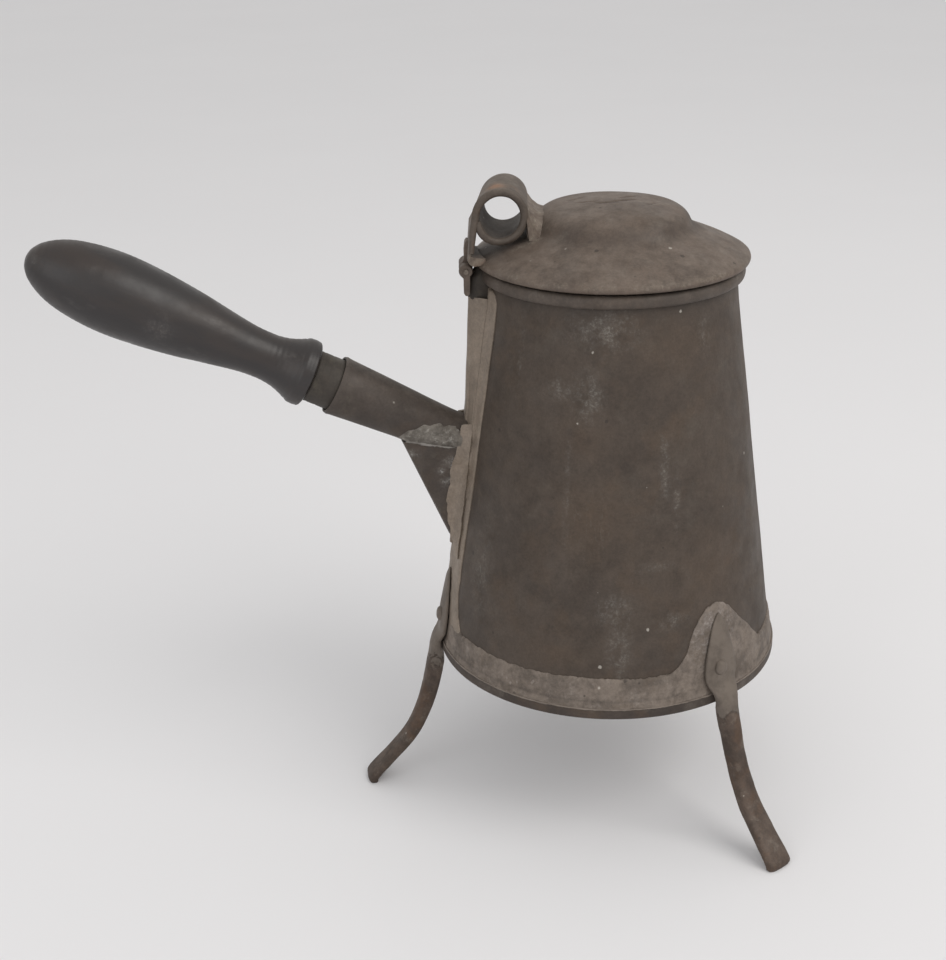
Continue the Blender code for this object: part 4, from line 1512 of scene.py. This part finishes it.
    def build_fillet(self, name: str, side: float) -> None:
        """Hollow-faced solder from the brace's cheek out to the wall.

        Args:
            name: Name of the piece.
            side: -1 for the near side, 1 for the far one.
        """
        rows, columns = 84, 22
        low, high = 99.5, 152.5
        outer, inner = [], []
        for i in range(rows + 1):
            z = low + (high - low) * i / rows
            wall = self.datum.wall_r(z)
            rag = ragged(Vector((side * 12.0, 6.0, z)), 6.0, 4)
            cheek = interpolate(((low, wall + 0.3), (104.0, wall + 1.3), (107.5, 61.0),
                                 (113.0, 61.9), (121.0, 62.0), (130.0, 61.0), (138.0, 59.8),
                                 (142.5, 58.2), (148.0, 57.2), (153.0, 55.9)), z)
            stand = 4.75 + 3.2 * min(1.0, max(z - 107.0, 0.0) / 36.0) ** 2
            cheek += 0.8 * rag * min(1.0, (z - low) / 8.0)
            reach = 9.8 + 1.1 * ragged(Vector((side * 3.0, 40.0, z)), 7.0, 3) - max(
                0.0, z - 143.0) * 0.12
            ends = min(1.0, i / 6, (rows - i) / 6)
            out_row, in_row = [], []
            for j in range(columns + 1):
                t = j / columns
                y = stand * (1 - t) ** 2 + 2 * (stand + 0.4) * t * (1 - t) + reach * t ** 2
                rho = (cheek * (1 - t) ** 2 + 2 * (wall + 1.9) * t * (1 - t)
                       + (wall + 0.35) * t ** 2)
                lump = (0.18 + 0.34 * ragged(Vector((side * y, rho, z)), 3.6, 3)) * ends
                out_row.append(self.datum.behind(rho + lump * 0.8, side * (y + lump * 0.5), z))
                in_row.append(self.datum.behind(rho - 0.9, side * (y - 1.0), z))
            outer.append(out_row)
            inner.append(in_row)
        make_piece(name, double_sheet(outer, inner), self.finishes.strap, Body.VESSEL)

    def build_brace(self) -> None:
        """Folded triangular brace: two cheeks joined by a rounded nose."""
        half, bulge, sheet = 4.1, 1.2, 0.8
        tip, top, back = Vector((60.9, 106.6)), Vector((77.75, 146.15)), Vector((56.0, 143.4))
        beside = Vector((76.9, 147.5))
        run = (top - tip).normalized()
        square = Vector((run.y, -run.x))
        rows, turns, cheek = 60, 14, 34

        def line(share: float, level: float) -> list[Vector]:
            """Section from the near cheek's back edge round the nose to the far one's.

            Args:
                share: 0 at the brace's tip, 1 at its upper nose.
                level: Depth below its outer face.

            Returns:
                Points of the section.
            """
            end = tip + (top - tip) * share
            width = half + 0.4 - level
            fold = []
            for i in range(turns + 1):
                a = math.pi * i / turns
                out = bulge * (math.sin(a) - 1.0) + 0.35 - level
                fold.append((end + square * out, -width * math.cos(a)))
            target = tip.lerp(back, share / 0.72) if share < 0.72 else back.lerp(
                beside, (share - 0.72) / 0.28)
            if share < 0.72:
                wide = width + 3.5 * (share / 0.72) ** 2
            else:
                wide = max(width, self.side_of_socket(target.x, target.y) + 0.3 - level)
            near = [(target.lerp(fold[0][0], i / cheek),
                     -wide + (wide - width) * (i / cheek)) for i in range(cheek)]
            far = [(fold[-1][0].lerp(target, (i + 1) / cheek),
                    width + (wide - width) * ((i + 1) / cheek)) for i in range(cheek)]
            points = []
            for place, y in near + fold + far:
                dent = 0.10 * ragged(Vector((place.x, y * 3, place.y)), 9.0, 2)
                points.append(self.datum.behind(place.x, y + math.copysign(dent, y), place.y))
            return points

        shares = [0.012 + 0.976 * i / rows for i in range(rows + 1)]
        shell = double_sheet([line(t, 0.0) for t in shares], [line(t, sheet) for t in shares])
        shell.lay("coat", lambda p: self.brace_coat(p, back))
        flecks = ((61.6, 131.0, 2.6), (60.4, 137.5, 2.2), (63.4, 134.0, 1.6), (74.0, 141.0, 1.6))
        shell.lay("faded", lambda p: max(
            bell(math.hypot(self.datum.axis_x - p.x - rho, p.z - z), 0.0, size)
            for rho, z, size in flecks))
        make_piece("brace_skin", shell, self.finishes.socket, Body.VESSEL,
                   ["handle_brace"], 50.0)

    def side_of_socket(self, rho: float, z: float) -> float:
        """Half-width of the socket at a place in its middle plane, 0 outside it."""
        s, drop = self.along(self.datum.behind(rho, 0.0, z))
        return math.sqrt(max(self.socket_r(s) ** 2 - drop ** 2, 0.0))

    def brace_coat(self, point: Vector, back: Vector) -> float:
        """Share of solder on the brace: along its upper edge and its back edge.

        Args:
            point: Place on the brace.
            back: Rho and height of the cheek's upper back corner.

        Returns:
            The share.
        """
        rho = self.datum.axis_x - point.x
        upper = interpolate(((back.x, back.y), (77.0, 146.5)), rho)
        edge = interpolate(((106.0, 60.9), (140.0, 58.2), (146.0, 57.0)), point.z)
        near_top = 0.60 - (upper - point.z) / 3.4
        near_back = 0.62 - (rho - edge) / 4.5
        return max(0.0, min(1.0, max(near_top, near_back)))

    def build_ferrule(self) -> None:
        """Plain ferrule with small turned lines."""
        start, end, r = self.ferrule
        outer = []
        count = 70
        for i in range(count + 1):
            s = start + (end - start) * i / count
            line = 0.10 * (bell(s, end - 1.9, 0.35) + bell(s, end - 5.4, 0.5))
            outer.append((s, r - line - 0.35 * bell(s, end, 0.25)))
        outline = outer + [(end, r - 0.7), (start, r - 0.7)]

        def worn(angle: float, s: float, radius: float) -> Point2:
            """Slight ovalness and dents."""
            place = self.datum.handle(s, radius * math.cos(angle), radius * math.sin(angle))
            return s, radius + 0.07 * ragged(place, 9.0, 2)

        make_piece("ferrule_skin", turned_on_handle(self.datum, outline, 96, worn),
                   self.finishes.ferrule, Body.VESSEL, ["handle_ferrule"])

    def build_grip(self) -> None:
        """Turned grip with faint tool lines and knocks."""
        line = smooth_line(self.grip_line, 7)
        outline = [(58.0, 0.0), (58.0, 8.4), (61.9, 8.4), (61.95, 10.4)] + [
            (s, max(r, 0.0)) for s, r in line]

        def worked(angle: float, s: float, radius: float) -> Point2:
            """Tool lines and knocks, always inwards.

            Args:
                angle: Angle round the handle, in radians.
                s: Distance along the handle.
                radius: Radius before the marks.

            Returns:
                The worked s and radius.
            """
            if s < 62.3 or radius < 0.5:
                return s, radius
            place = self.datum.handle(s, radius * math.cos(angle), radius * math.sin(angle))
            line_depth = 0.03 * (1 + math.sin(s * 3.1)) + 0.12 * bell(s, 67.6, 0.35)
            knock = 0.30 * max(0.0, ragged(place, 11.0, 2) - 0.35)
            return s, radius - line_depth - knock

        shell = turned_on_handle(self.datum, outline, 128, worked, closed=False)
        tip = self.datum.handle(163.6, -2.0, -5.6)
        rub = self.datum.handle(118.0, 1.5, -13.0)
        shell.lay("faded", lambda p: max(bell((p - tip).length, 0.0, 1.7),
                                         0.8 * bell((p - rub).length, 0.0, 4.5)))
        make_piece("grip_turned", shell, self.finishes.wood, Body.VESSEL, ["grip"],
                   60.0)

    def build(self) -> None:
        """Build every piece."""
        self.build_socket()
        self.build_smears()
        self.build_brace()
        self.build_ferrule()
        self.build_grip()


@dataclass
class Legs:
    """Three forged legs, their palms drawn out flat and riveted to the wall."""

    datum: Datum
    finishes: Finishes
    rivet_z: float = 72.0
    angles: tuple[tuple[str, float, float], ...] = (
        ("handle_side", 180.0, 0.0), ("front_side", -60.0, -2.7), ("far_side", 60.0, 2.7))
    palm: Sequence[tuple[float, float, float]] = (
        (91.5, 0.9, 0.5), (89.5, 4.2, 0.9), (86.5, 7.2, 1.25), (80.0, 11.0, 1.6),
        (74.5, 13.8, 1.9), (69.0, 14.8, 2.1), (65.6, 13.0, 2.2))
    bar: Sequence[tuple[float, float, float, float, float]] = (
        (67.0, 62.4, 11.0, 2.8, 4.0), (67.5, 58.8, 9.2, 4.4, 4.0), (67.5, 55.0, 8.4, 5.8, 6.0),
        (68.2, 50.0, 7.8, 6.5, 9.0), (70.4, 40.0, 7.1, 6.3, 15.0), (73.7, 30.0, 7.7, 5.7, 21.0),
        (78.8, 20.0, 9.0, 4.8, 33.0), (86.8, 10.6, 10.2, 3.7, 40.0), (92.6, 4.4, 10.9, 3.5, 38.0),
        (94.9, 1.5, 11.0, 4.0, 18.0), (94.8, 0.35, 10.6, 3.8, 4.0), (94.8, 0.0, 9.8, 3.2, 0.0))

    def stations(self) -> list[tuple[float, ...]]:
        """Rho, height, width, thickness and slope from palm tip to sole.

        Returns:
            One row for each station.
        """
        rows = []
        for z, width, thick in self.palm:
            rho = self.datum.wall_r(z) + 0.62 + thick / 2
            rows.append((rho, z, width, thick, math.degrees(math.atan(self.datum.wall_slope))))
        rows += list(self.bar)
        return smooth_line(rows, 6)

    @staticmethod
    def lean_at(lean: float, z: float) -> float:
        """Sideways shift of a leg at a height."""
        return lean * interpolate(((0.0, 0.0), (25.0, -0.1), (45.0, 0.15), (58.0, 0.65),
                                   (66.0, 1.0), (91.5, 0.6)), z)

    def ring(self, angle: float, lean: float, station: Sequence[float]) -> list[Vector]:
        """One rounded ring of a leg, bent to the wall.

        Args:
            angle: The leg's angle, in degrees.
            lean: Its sideways lean.
            station: Row of stations().

        Returns:
            Points of the ring.
        """
        rho, z, width, thick, slope_deg = station
        z = max(z, 0.0)
        slope = math.radians(slope_deg)
        points, sides = [], 28
        for k in range(sides):
            a = TURN * k / sides
            square = 3.4
            cos_a, sin_a = math.cos(a), math.sin(a)
            across = math.copysign(abs(cos_a) ** (2 / square), cos_a) * width / 2
            out = math.copysign(abs(sin_a) ** (2 / square), sin_a) * thick / 2
            tangent = across + self.lean_at(lean, z)
            place = Vector((tangent + angle, out * 2, z))
            hammered = 0.16 * ragged(place, 7.0, 3) * (0.4 if z > 66 else 1.0)
            fade = min(1.0, z / 4.0)
            reach = (rho + (out + math.copysign(hammered * fade, out)) * math.cos(slope)
                     - tangent ** 2 / (2 * rho))
            side = math.copysign(0.22 * fade * abs(ragged(place + Vector((0, 0, 50)), 8.0, 2)),
                                 across)
            height = max(z + out * math.sin(slope), 0.0)
            points.append(self.datum.around(angle, reach, height, tangent - side))
        return points

    def build_rivet(self, name: str, angle: float, lean: float) -> None:
        """Peened rivet head on a palm.

        Args:
            name: Name of the leg.
            angle: The leg's angle, in degrees.
            lean: Its sideways lean.
        """
        face = self.datum.wall_r(self.rivet_z) + 0.62 + 2.0
        beside = 1.3 * lean
        tilt = self.datum.wall_slope
        rings = []
        for r, h in smooth_line(((2.9, -0.6), (2.75, 0.25), (2.2, 0.95), (1.3, 1.35),
                                 (0.35, 1.42)), 4):
            ring = []
            for k in range(24):
                a = TURN * k / 24
                uneven = 1.0 + 0.10 * ragged(Vector((2.4 * math.cos(a) + angle,
                                                     2.4 * math.sin(a), h)), 2.4, 2)
                up = r * uneven * math.sin(a)
                ring.append(self.datum.around(angle, face + h - up * tilt - beside ** 2 / 130,
                                              self.rivet_z + up + h * tilt,
                                              beside + r * uneven * math.cos(a)))
            rings.append(ring)
        shell = loft(rings)
        shell.lay("coat", lambda _: 0.62)
        make_piece(f"rivet_head_{name}", shell, self.finishes.iron, Body.VESSEL,
                   [f"rivet_{name}"])

    def build(self) -> None:
        """Build the three legs and their rivets."""
        for name, angle, lean in self.angles:
            shell = loft([self.ring(angle, lean, s) for s in self.stations()])
            shell.lay("coat", lambda p: 0.5 + (p.z - 53.0) / 24.0)
            # Painted shade round the foot of each palm and near its tip
            shell.lay("shade_and_grime", lambda p: 0.8 * bell(p.z, 64.0, 3.0) + 0.5 * bell(p.z, 90.0, 3.0))
            make_piece(f"leg_forged_{name}", shell, self.finishes.iron, Body.VESSEL,
                       [f"leg_{name}"])
            self.build_rivet(name, angle, lean)


# ---------------------------------------------------------------- the lid


@dataclass
class Lid:
    """Raised cover, collar and rolled thumb loop."""

    datum: Datum
    finishes: Finishes
    steps: int = 300
    sheet: float = 0.8
    skew: float = 0.13
    loop_y: Point2 = (-11.0, 11.0)
    lip_r: float = 1.45
    loop_front: tuple[float, float, float] = (41.7, 228.6, 10.0)
    loop_back: tuple[float, float, float] = (39.8, 230.7, 8.8)
    strap_rho: float = 52.2
    profile: Table = ((0.0, 231.4), (8.0, 231.1), (16.5, 230.1), (22.0, 228.9), (25.0, 227.4),
                      (26.9, 225.6), (28.1, 223.4), (29.3, 221.9), (31.4, 220.6), (34.7, 219.1),
                      (39.0, 217.4), (43.0, 215.7), (46.4, 213.9), (48.4, 212.7))
    creases: Sequence[tuple[Point2, Point2]] = (
        ((-13.0, -1.0), (-6.0, -2.5)), ((-7.0, -4.5), (0.0, -6.0)), ((-2.0, -4.6), (7.0, -3.2)),
        ((3.0, 0.5), (9.0, 3.0)), ((-15.0, 4.0), (-9.0, 6.5)), ((10.0, -9.0), (15.0, -5.5)))
    edge: Table = ((48.95, 212.2), (49.2, 211.5), (49.2, 210.9), (48.8, 210.15), (47.8, 209.75),
                   (46.9, 210.1), (46.5, 211.0), (46.7, 212.4))

    def top_z(self, rho: float) -> float:
        """Height of the lid's upper face at a distance from the axis."""
        return interpolate(self.profile, rho)

    def cover_shape(self, angle: float, rho: float, z: float) -> Point2:
        """Wrinkles on the boss and soft waves, never above the turned form.

        Args:
            angle: Angle about the axis, in degrees.
            rho: Distance from the axis.
            z: Height.

        Returns:
            The sunk rho and z.
        """
        a = math.radians(angle)
        place = Vector((rho * math.cos(a), rho * math.sin(a), z * 0.5))
        sink = 0.16 * (1 + ragged(place, 30.0, 2))
        on_boss = max(0.0, 1.0 - (rho / 23.0) ** 4)
        sink += 0.5 * on_boss * self.crease_at(place.x, place.y)
        sink += 0.10 * on_boss * (1 + ragged(place, 6.0, 3))
        if rho > 45.0:
            sink *= max(0.0, (49.2 - rho) / 4.2)
        return rho, z - sink

    def crease_at(self, x: float, y: float) -> float:
        """Strength from 0 to 1 of the boss's creases, x and y being from the pot's axis.

        Args:
            x: Distance away from the handle.
            y: Distance across.

        Returns:
            The strength.
        """
        place = Vector((x + 0.5 * ragged(Vector((x, y, 2.0)), 4.0, 2),
                        y + 0.5 * ragged(Vector((x, y, 9.0)), 4.0, 2)))
        best = 0.0
        for start, end in self.creases:
            a, run = Vector(start), Vector(end) - Vector(start)
            share = max(0.0, min(1.0, (place - a).dot(run) / run.length_squared))
            away = (place - a - run * share).length
            best = max(best, bell(away, 0.0, 0.55) * (1.0 - 0.5 * abs(2 * share - 1.0) ** 3))
        return best

    def near_loop(self, point: Vector) -> float:
        """Share of pale solder round the saddle between loop and boss.

        Args:
            point: Place on the lid.

        Returns:
            The share.
        """
        rho = self.datum.axis_x - point.x
        if point.z < 217.0 or rho < 0.0:
            return 0.0
        across = bell(rho, 29.0, 4.2) * bell(point.y, 0.0, 11.5) ** 0.5
        under = 0.7 * bell(point.y, -11.5, 1.2) * bell(rho, 38.0, 9.0)
        return 1.7 * max(across if abs(point.y) < 13.0 else 0.0, under) * (
            0.8 + 0.35 * ragged(point, 4.0, 3))

    def cover_shade(self, point: Vector) -> float:
        """Share of painted shade: in the creases and round the neck of the boss.

        Args:
            point: Place on the lid.

        Returns:
            The share.
        """
        x, y = point.x - self.datum.axis_x, point.y
        neck = bell(math.hypot(x, y), 28.2, 2.9) * (0.6 + 0.25 * ragged(point, 14.0, 3))
        return max(0.75 * self.crease_at(x, y) if point.z > 224.0 else 0.0, neck)

    def build_cover(self) -> None:
        """Sheet cover with a rolled edge."""
        top = smooth_line(self.profile, 12)
        under = []
        for (r0, z0), (r1, z1) in zip(top, top[1:]):
            run = Vector((r1 - r0, z1 - z0)).normalized()
            under.append((max((r0 + r1) / 2 + run.y * self.sheet, 0.0),
                          (z0 + z1) / 2 - run.x * self.sheet))
        under = [(0.0, under[0][1])] + [p for p in under if p[0] < 46.0]
        rolled = smooth_line(self.edge, 4)
        outline = list(top) + rolled + list(reversed(under))
        shell = turned(self.datum, outline, self.steps, self.cover_shape, closed=False)
        # Painted shade in the boss's creases and round its neck
        shell.lay("shade_and_grime", self.cover_shade)
        shell.lay("faded", lambda p: max(0.5 * bell(p.z, 212.0, 1.2), self.near_loop(p)))
        make_piece("cover_skin", shell, self.finishes.lid, Body.LID, ["lid_cover"])

    def build_collar(self) -> None:
        """Shallow ring under the cover."""
        low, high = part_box("lid_collar")
        r = (high.y - low.y) / 2 / MM
        z0, z1 = low.z / MM, high.z / MM - 0.2
        outline = [(r, z1), (r, z0 + 0.3), (r - 0.15, z0 + 0.05), (r - 0.4, z0),
                   (r - 0.65, z0 + 0.05), (r - self.sheet, z0 + 0.3), (r - self.sheet, z1)]
        make_piece("collar_ring", turned(self.datum, outline, self.steps), self.finishes.lid,
                   Body.LID, ["lid_collar"])

    def loop_line(self, share: float, inset: float, end: float, turns: int) -> list[Point2]:
        """Line of the strip as (rho, z), up the strap and round the tube.

        Args:
            share: 0 at the loop's front edge, 1 at its back edge.
            inset: Distance in from the strip's outer face.
            end: Angle at which the tube ends, in degrees.
            turns: Pieces of the arc.

        Returns:
            Points from the strap's foot.
        """
        rho, z, r = (a + (b - a) * share for a, b in zip(self.loop_front, self.loop_back))
        line = [(self.strap_rho + 1.3 - 0.085 * 1.5 * k - inset, 213.4 + 1.5 * k)
                for k in range(8)]
        for i in range(turns + 1):
            degrees = 4.0 + (end - 4.0) * i / turns
            a = math.radians(degrees)
            reach = r - inset - 1.0 * max(0.0, (degrees - 296.0) / 60.0) ** 1.5
            line.append((rho + reach * math.cos(a), z + reach * math.sin(a)))
        return line

    def askew(self, rho: float, y: float, z: float) -> Vector:
        """World place on the loop, whose rho is given at its front edge."""
        return self.datum.behind(rho - self.skew * (y - self.loop_y[0]), y, z)

    def build_loop(self) -> None:
        """Rolled strip and its thick lip."""
        sheet, columns, turns = 0.9, 30, 72
        first = self.loop_y[0] + self.lip_r
        outer, inner = [], []
        for j in range(columns + 1):
            y = first + (self.loop_y[1] - first) * j / columns
            share = (y - self.loop_y[0]) / (self.loop_y[1] - self.loop_y[0])
            dent = 0.10 * ragged(Vector((4.0, y, 1.0)), 8.0, 2) - 0.10
            near = bell(y, first, 1.6) * 0.3
            outer.append([self.askew(rho, y, z) for rho, z in
                          self.loop_line(share, -dent * 0.5 + near + 0.1, 355.0, turns)])
            inner.append([self.askew(rho, y, z) for rho, z in
                          self.loop_line(share, sheet + near, 355.0, turns)])
        shell = double_sheet(outer, inner)
        spot = self.askew(43.0, -5.5, 238.4)
        shell.lay("burnt", lambda p: 1.2 * bell((p - spot).length, 0.0, 2.6))
        # Painted shade inside the rolled tube
        shell.lay("shade_and_grime", self.shade_inside_loop)
        make_piece("loop_strip", shell, self.finishes.loop, Body.LID, ["thumb_loop"])
        y = self.loop_y[0] + self.lip_r
        line = [p for p in self.loop_line(0.0, self.lip_r, 352.0, turns) if p[1] > 215.4]
        path = [self.askew(rho, y, z) for rho, z in line]

        def swell(share: float) -> float:
            """Lip radius, thinner at both ends.

            Args:
                share: Share of the length.

            Returns:
                The radius.
            """
            wave = 0.06 * ragged(Vector((share * 90, 2.0, 5.0)), 9.0, 2) - 0.05
            return self.lip_r + wave - 0.5 * bell(share, 0.0, 0.05) - 0.5 * bell(
                share, 1.0, 0.03)

        shell = tube(path, swell, 18, Vector((0.0, 1.0, 0.0)))
        # Painted shade over the whole lip, darker inside the tube
        shell.lay("shade_and_grime", lambda p: 0.38 + 0.3 * self.shade_inside_loop(p))
        make_piece("loop_lip_roll", shell, self.finishes.loop, Body.LID, ["loop_lip"])

    def shade_inside_loop(self, point: Vector) -> float:
        """Share of painted shade inside the rolled tube.

        Args:
            point: Place on the loop.

        Returns:
            The share.
        """
        y = point.y
        share = max(0.0, (y - self.loop_y[0]) / (self.loop_y[1] - self.loop_y[0]))
        rho, z, r = (a + (b - a) * share for a, b in zip(self.loop_front, self.loop_back))
        across = self.datum.axis_x - point.x + self.skew * (y - self.loop_y[0]) - rho
        return 0.75 if math.hypot(across, point.z - z) < r - 0.75 else 0.0

    def build_foot_web(self) -> None:
        """Web that joins the loop's foot to the edge of the cover."""
        rings, count, half = [], 24, 9.2
        for i in range(count + 1):
            y = -half + 2 * half * i / count
            outer = self.strap_rho + 1.0 - self.skew * (y - self.loop_y[0])
            inner = math.sqrt(47.6 ** 2 - y ** 2)
            lump = 0.15 * ragged(Vector((5.0, y, 3.0)), 4.0, 3)
            corners = ((inner, 212.6), (inner + 1.2, 211.9), (outer - 2.2, 211.5),
                       (outer - 0.9, 212.2), (outer - 0.1, 213.2), (outer, 214.4),
                       (outer - 0.6, 215.2 + lump),
                       ((inner + outer) / 2, 214.4 + lump), (inner, 214.2))
            rings.append([self.datum.behind(rho, y, z) for rho, z in corners])
        make_piece("loop_foot_web", loft(rings), self.finishes.loop, Body.LID)

    def build_loop_solder(self) -> None:
        """Saddle of solder between the loop and the boss."""
        rings, count = [], 60
        for j in range(count + 1):
            y = -10.9 + 22.6 * j / count
            share = max(0.0, (y - self.loop_y[0]) / (self.loop_y[1] - self.loop_y[0]))
            rho, z, r = (a + (b - a) * share for a, b in zip(self.loop_front, self.loop_back))
            rho -= self.skew * (y - self.loop_y[0])
            ends = max(0.03, min(1.0, (y + 11.0) / 2.6, (11.9 - y) / 2.2)) ** 0.55
            rag = ragged(Vector((3.0, y, 2.0)), 5.0, 3)
            tube_angle = math.radians(200.0 - (52.0 + 6.0 * rag) * ends)
            start = (rho + (r - 0.5) * math.cos(tube_angle),
                     z + (r - 0.5) * math.sin(tube_angle))
            boss_r = 30.2 - (6.6 + 0.9 * rag) * min(1.0, ends, ((y + 11.0) / 10.0) ** 0.8)
            boss_rho = math.sqrt(max(boss_r ** 2 - y ** 2, 1.0))
            finish = (boss_rho, self.top_z(boss_r) - 0.3)
            ring = []
            for k in range(17):
                t = k / 16
                sag = (2.3 + 0.5 * rag) * math.sin(math.pi * t) ** 0.85
                lump = (0.5 * ragged(Vector((t * 9, y, 8.0)), 4.6, 3)
                        + 0.22 * ragged(Vector((t * 9, y, 1.0)), 1.6, 2))
                lump *= math.sin(math.pi * t)
                ring.append(self.datum.behind(
                    start[0] + (finish[0] - start[0]) * t, y,
                    start[1] + (finish[1] - start[1]) * t - (sag - lump) * min(1.0, ends * 1.4)))
            foot_r = math.hypot((start[0] + finish[0]) / 2, y)
            floor = self.top_z(foot_r) - 0.3
            for t in (0.8, 0.6, 0.4, 0.2):
                ring.append(self.datum.behind(start[0] + (finish[0] - start[0]) * t, y,
                                              min(floor, ring[8].z - 0.4)))
            rings.append(ring)
        shell = loft(rings)
        shell.lay("faded", self.near_loop)
        make_piece("loop_fillet", shell, self.finishes.lid, Body.LID,
                   ["loop_solder"])

    def build(self) -> None:
        """Build every piece."""
        self.build_cover()
        self.build_collar()
        self.build_loop()
        self.build_foot_web()
        self.build_loop_solder()


# ---------------------------------------------------------------- studio


@dataclass
class Studio:
    """Camera, soft lights and a plain pale floor."""

    datum: Datum
    place: tuple[float, float, float] = (-118.52, -510.19, 347.12)
    heading: float = math.radians(82.517)
    pitch: float = math.radians(23.1445)
    roll: float = math.radians(-1.2103)
    lens: float = 55.91
    floor_half: float = 12.0
    room_light: float = 0.72

    def build_camera(self) -> None:
        """Camera at the viewing angle."""
        ch, sh = math.cos(self.heading), math.sin(self.heading)
        cp, sp = math.cos(self.pitch), math.sin(self.pitch)
        ahead = Vector((ch * cp, sh * cp, -sp))
        right = Vector((sh, -ch, 0.0))
        up = right.cross(ahead)
        cr, sr = math.cos(self.roll), math.sin(self.roll)
        right, up = right * cr + up * sr, up * cr - right * sr
        data = bpy.data.cameras.new("view_camera")
        data.lens = self.lens
        data.sensor_width = 36.0
        data.clip_start = 0.01
        camera = bpy.data.objects.new("view_camera", data)
        turn = Matrix((right, up, -ahead)).transposed().to_4x4()
        x, y, z = self.place
        camera.matrix_world = Matrix.Translation(
            Vector((self.datum.axis_x + x, y, z)) * MM) @ turn
        bpy.context.scene.collection.objects.link(camera)
        bpy.context.scene.camera = camera

    def add_light(self, name: str, place: Vector, size: float, power: float,
                  colour: Colour) -> None:
        """Square area light aimed at the pot's middle.

        Args:
            name: Name of the light.
            place: Where it stands, in metres.
            size: Length of its side, in metres.
            power: Power in watts.
            colour: Its colour.
        """
        data = bpy.data.lights.new(name, "AREA")
        data.energy = power
        data.size = size
        data.color = colour
        lamp = bpy.data.objects.new(name, data)
        aim = Vector((self.datum.axis_x, 0.0, 120.0)) * MM
        lamp.location = place
        lamp.rotation_mode = "QUATERNION"
        lamp.rotation_quaternion = (aim - place).to_track_quat("-Z", "Y")
        bpy.context.scene.collection.objects.link(lamp)

    def build_floor(self) -> None:
        """Wide pale floor."""
        mesh = bpy.data.meshes.new("floor")
        half = self.floor_half
        mesh.from_pydata([(-half, -half, 0.0), (half, -half, 0.0), (half, half, 0.0),
                          (-half, half, 0.0)], [], [(0, 1, 2, 3)])
        material = bpy.data.materials.new("pale_floor")
        material.use_nodes = True
        g = Graph(material.node_tree)
        shader = material.node_tree.nodes["Principled BSDF"]
        at = g.add("ShaderNodeTexCoord").outputs["Object"]
        cloud = g.noise(at, 3.0, 4.0, 0.6)
        g.feed(shader.inputs["Base Color"], g.mix(cloud, (0.79, 0.79, 0.81, 1.0),
                                                  (0.82, 0.82, 0.84, 1.0)))
        shader.inputs["Roughness"].default_value = 0.75
        mesh.materials.append(material)
        floor = bpy.data.objects.new("floor", mesh)
        bpy.context.scene.collection.objects.link(floor)

    def build_world(self) -> None:
        """Even pale surroundings."""
        world = bpy.data.worlds.new("pale_room")
        world.use_nodes = True
        background = world.node_tree.nodes["Background"]
        background.inputs["Color"].default_value = (1.0, 0.985, 0.965, 1.0)
        background.inputs["Strength"].default_value = self.room_light
        bpy.context.scene.world = world
        bpy.context.scene.view_settings.view_transform = "Standard"

    def build(self) -> None:
        """Build the studio."""
        self.build_camera()
        self.build_floor()
        self.build_world()
        self.add_light("key_light", Vector((0.95, -0.85, 1.25)), 1.1, 11.0, (1.0, 0.97, 0.93))
        self.add_light("fill_light", Vector((-0.9, -1.1, 0.8)), 1.4, 4.0, (0.96, 0.98, 1.0))


def main() -> None:
    """Build the pot and its studio in order."""
    logging.basicConfig(level=logging.INFO, format="%(message)s")
    datum = Datum.read()
    fx = Effects()
    finishes = Finishes(fx)
    Studio(datum).build()
    Vessel(datum, finishes).build()
    SolderWork(datum, finishes).build()
    strap = BackStrap(datum, finishes)
    strap.build()
    Hinge(datum, finishes).build()
    Handle(datum, finishes, strap).build()
    Legs(datum, finishes).build()
    Lid(datum, finishes).build()


if __name__ == "__main__":
    main()
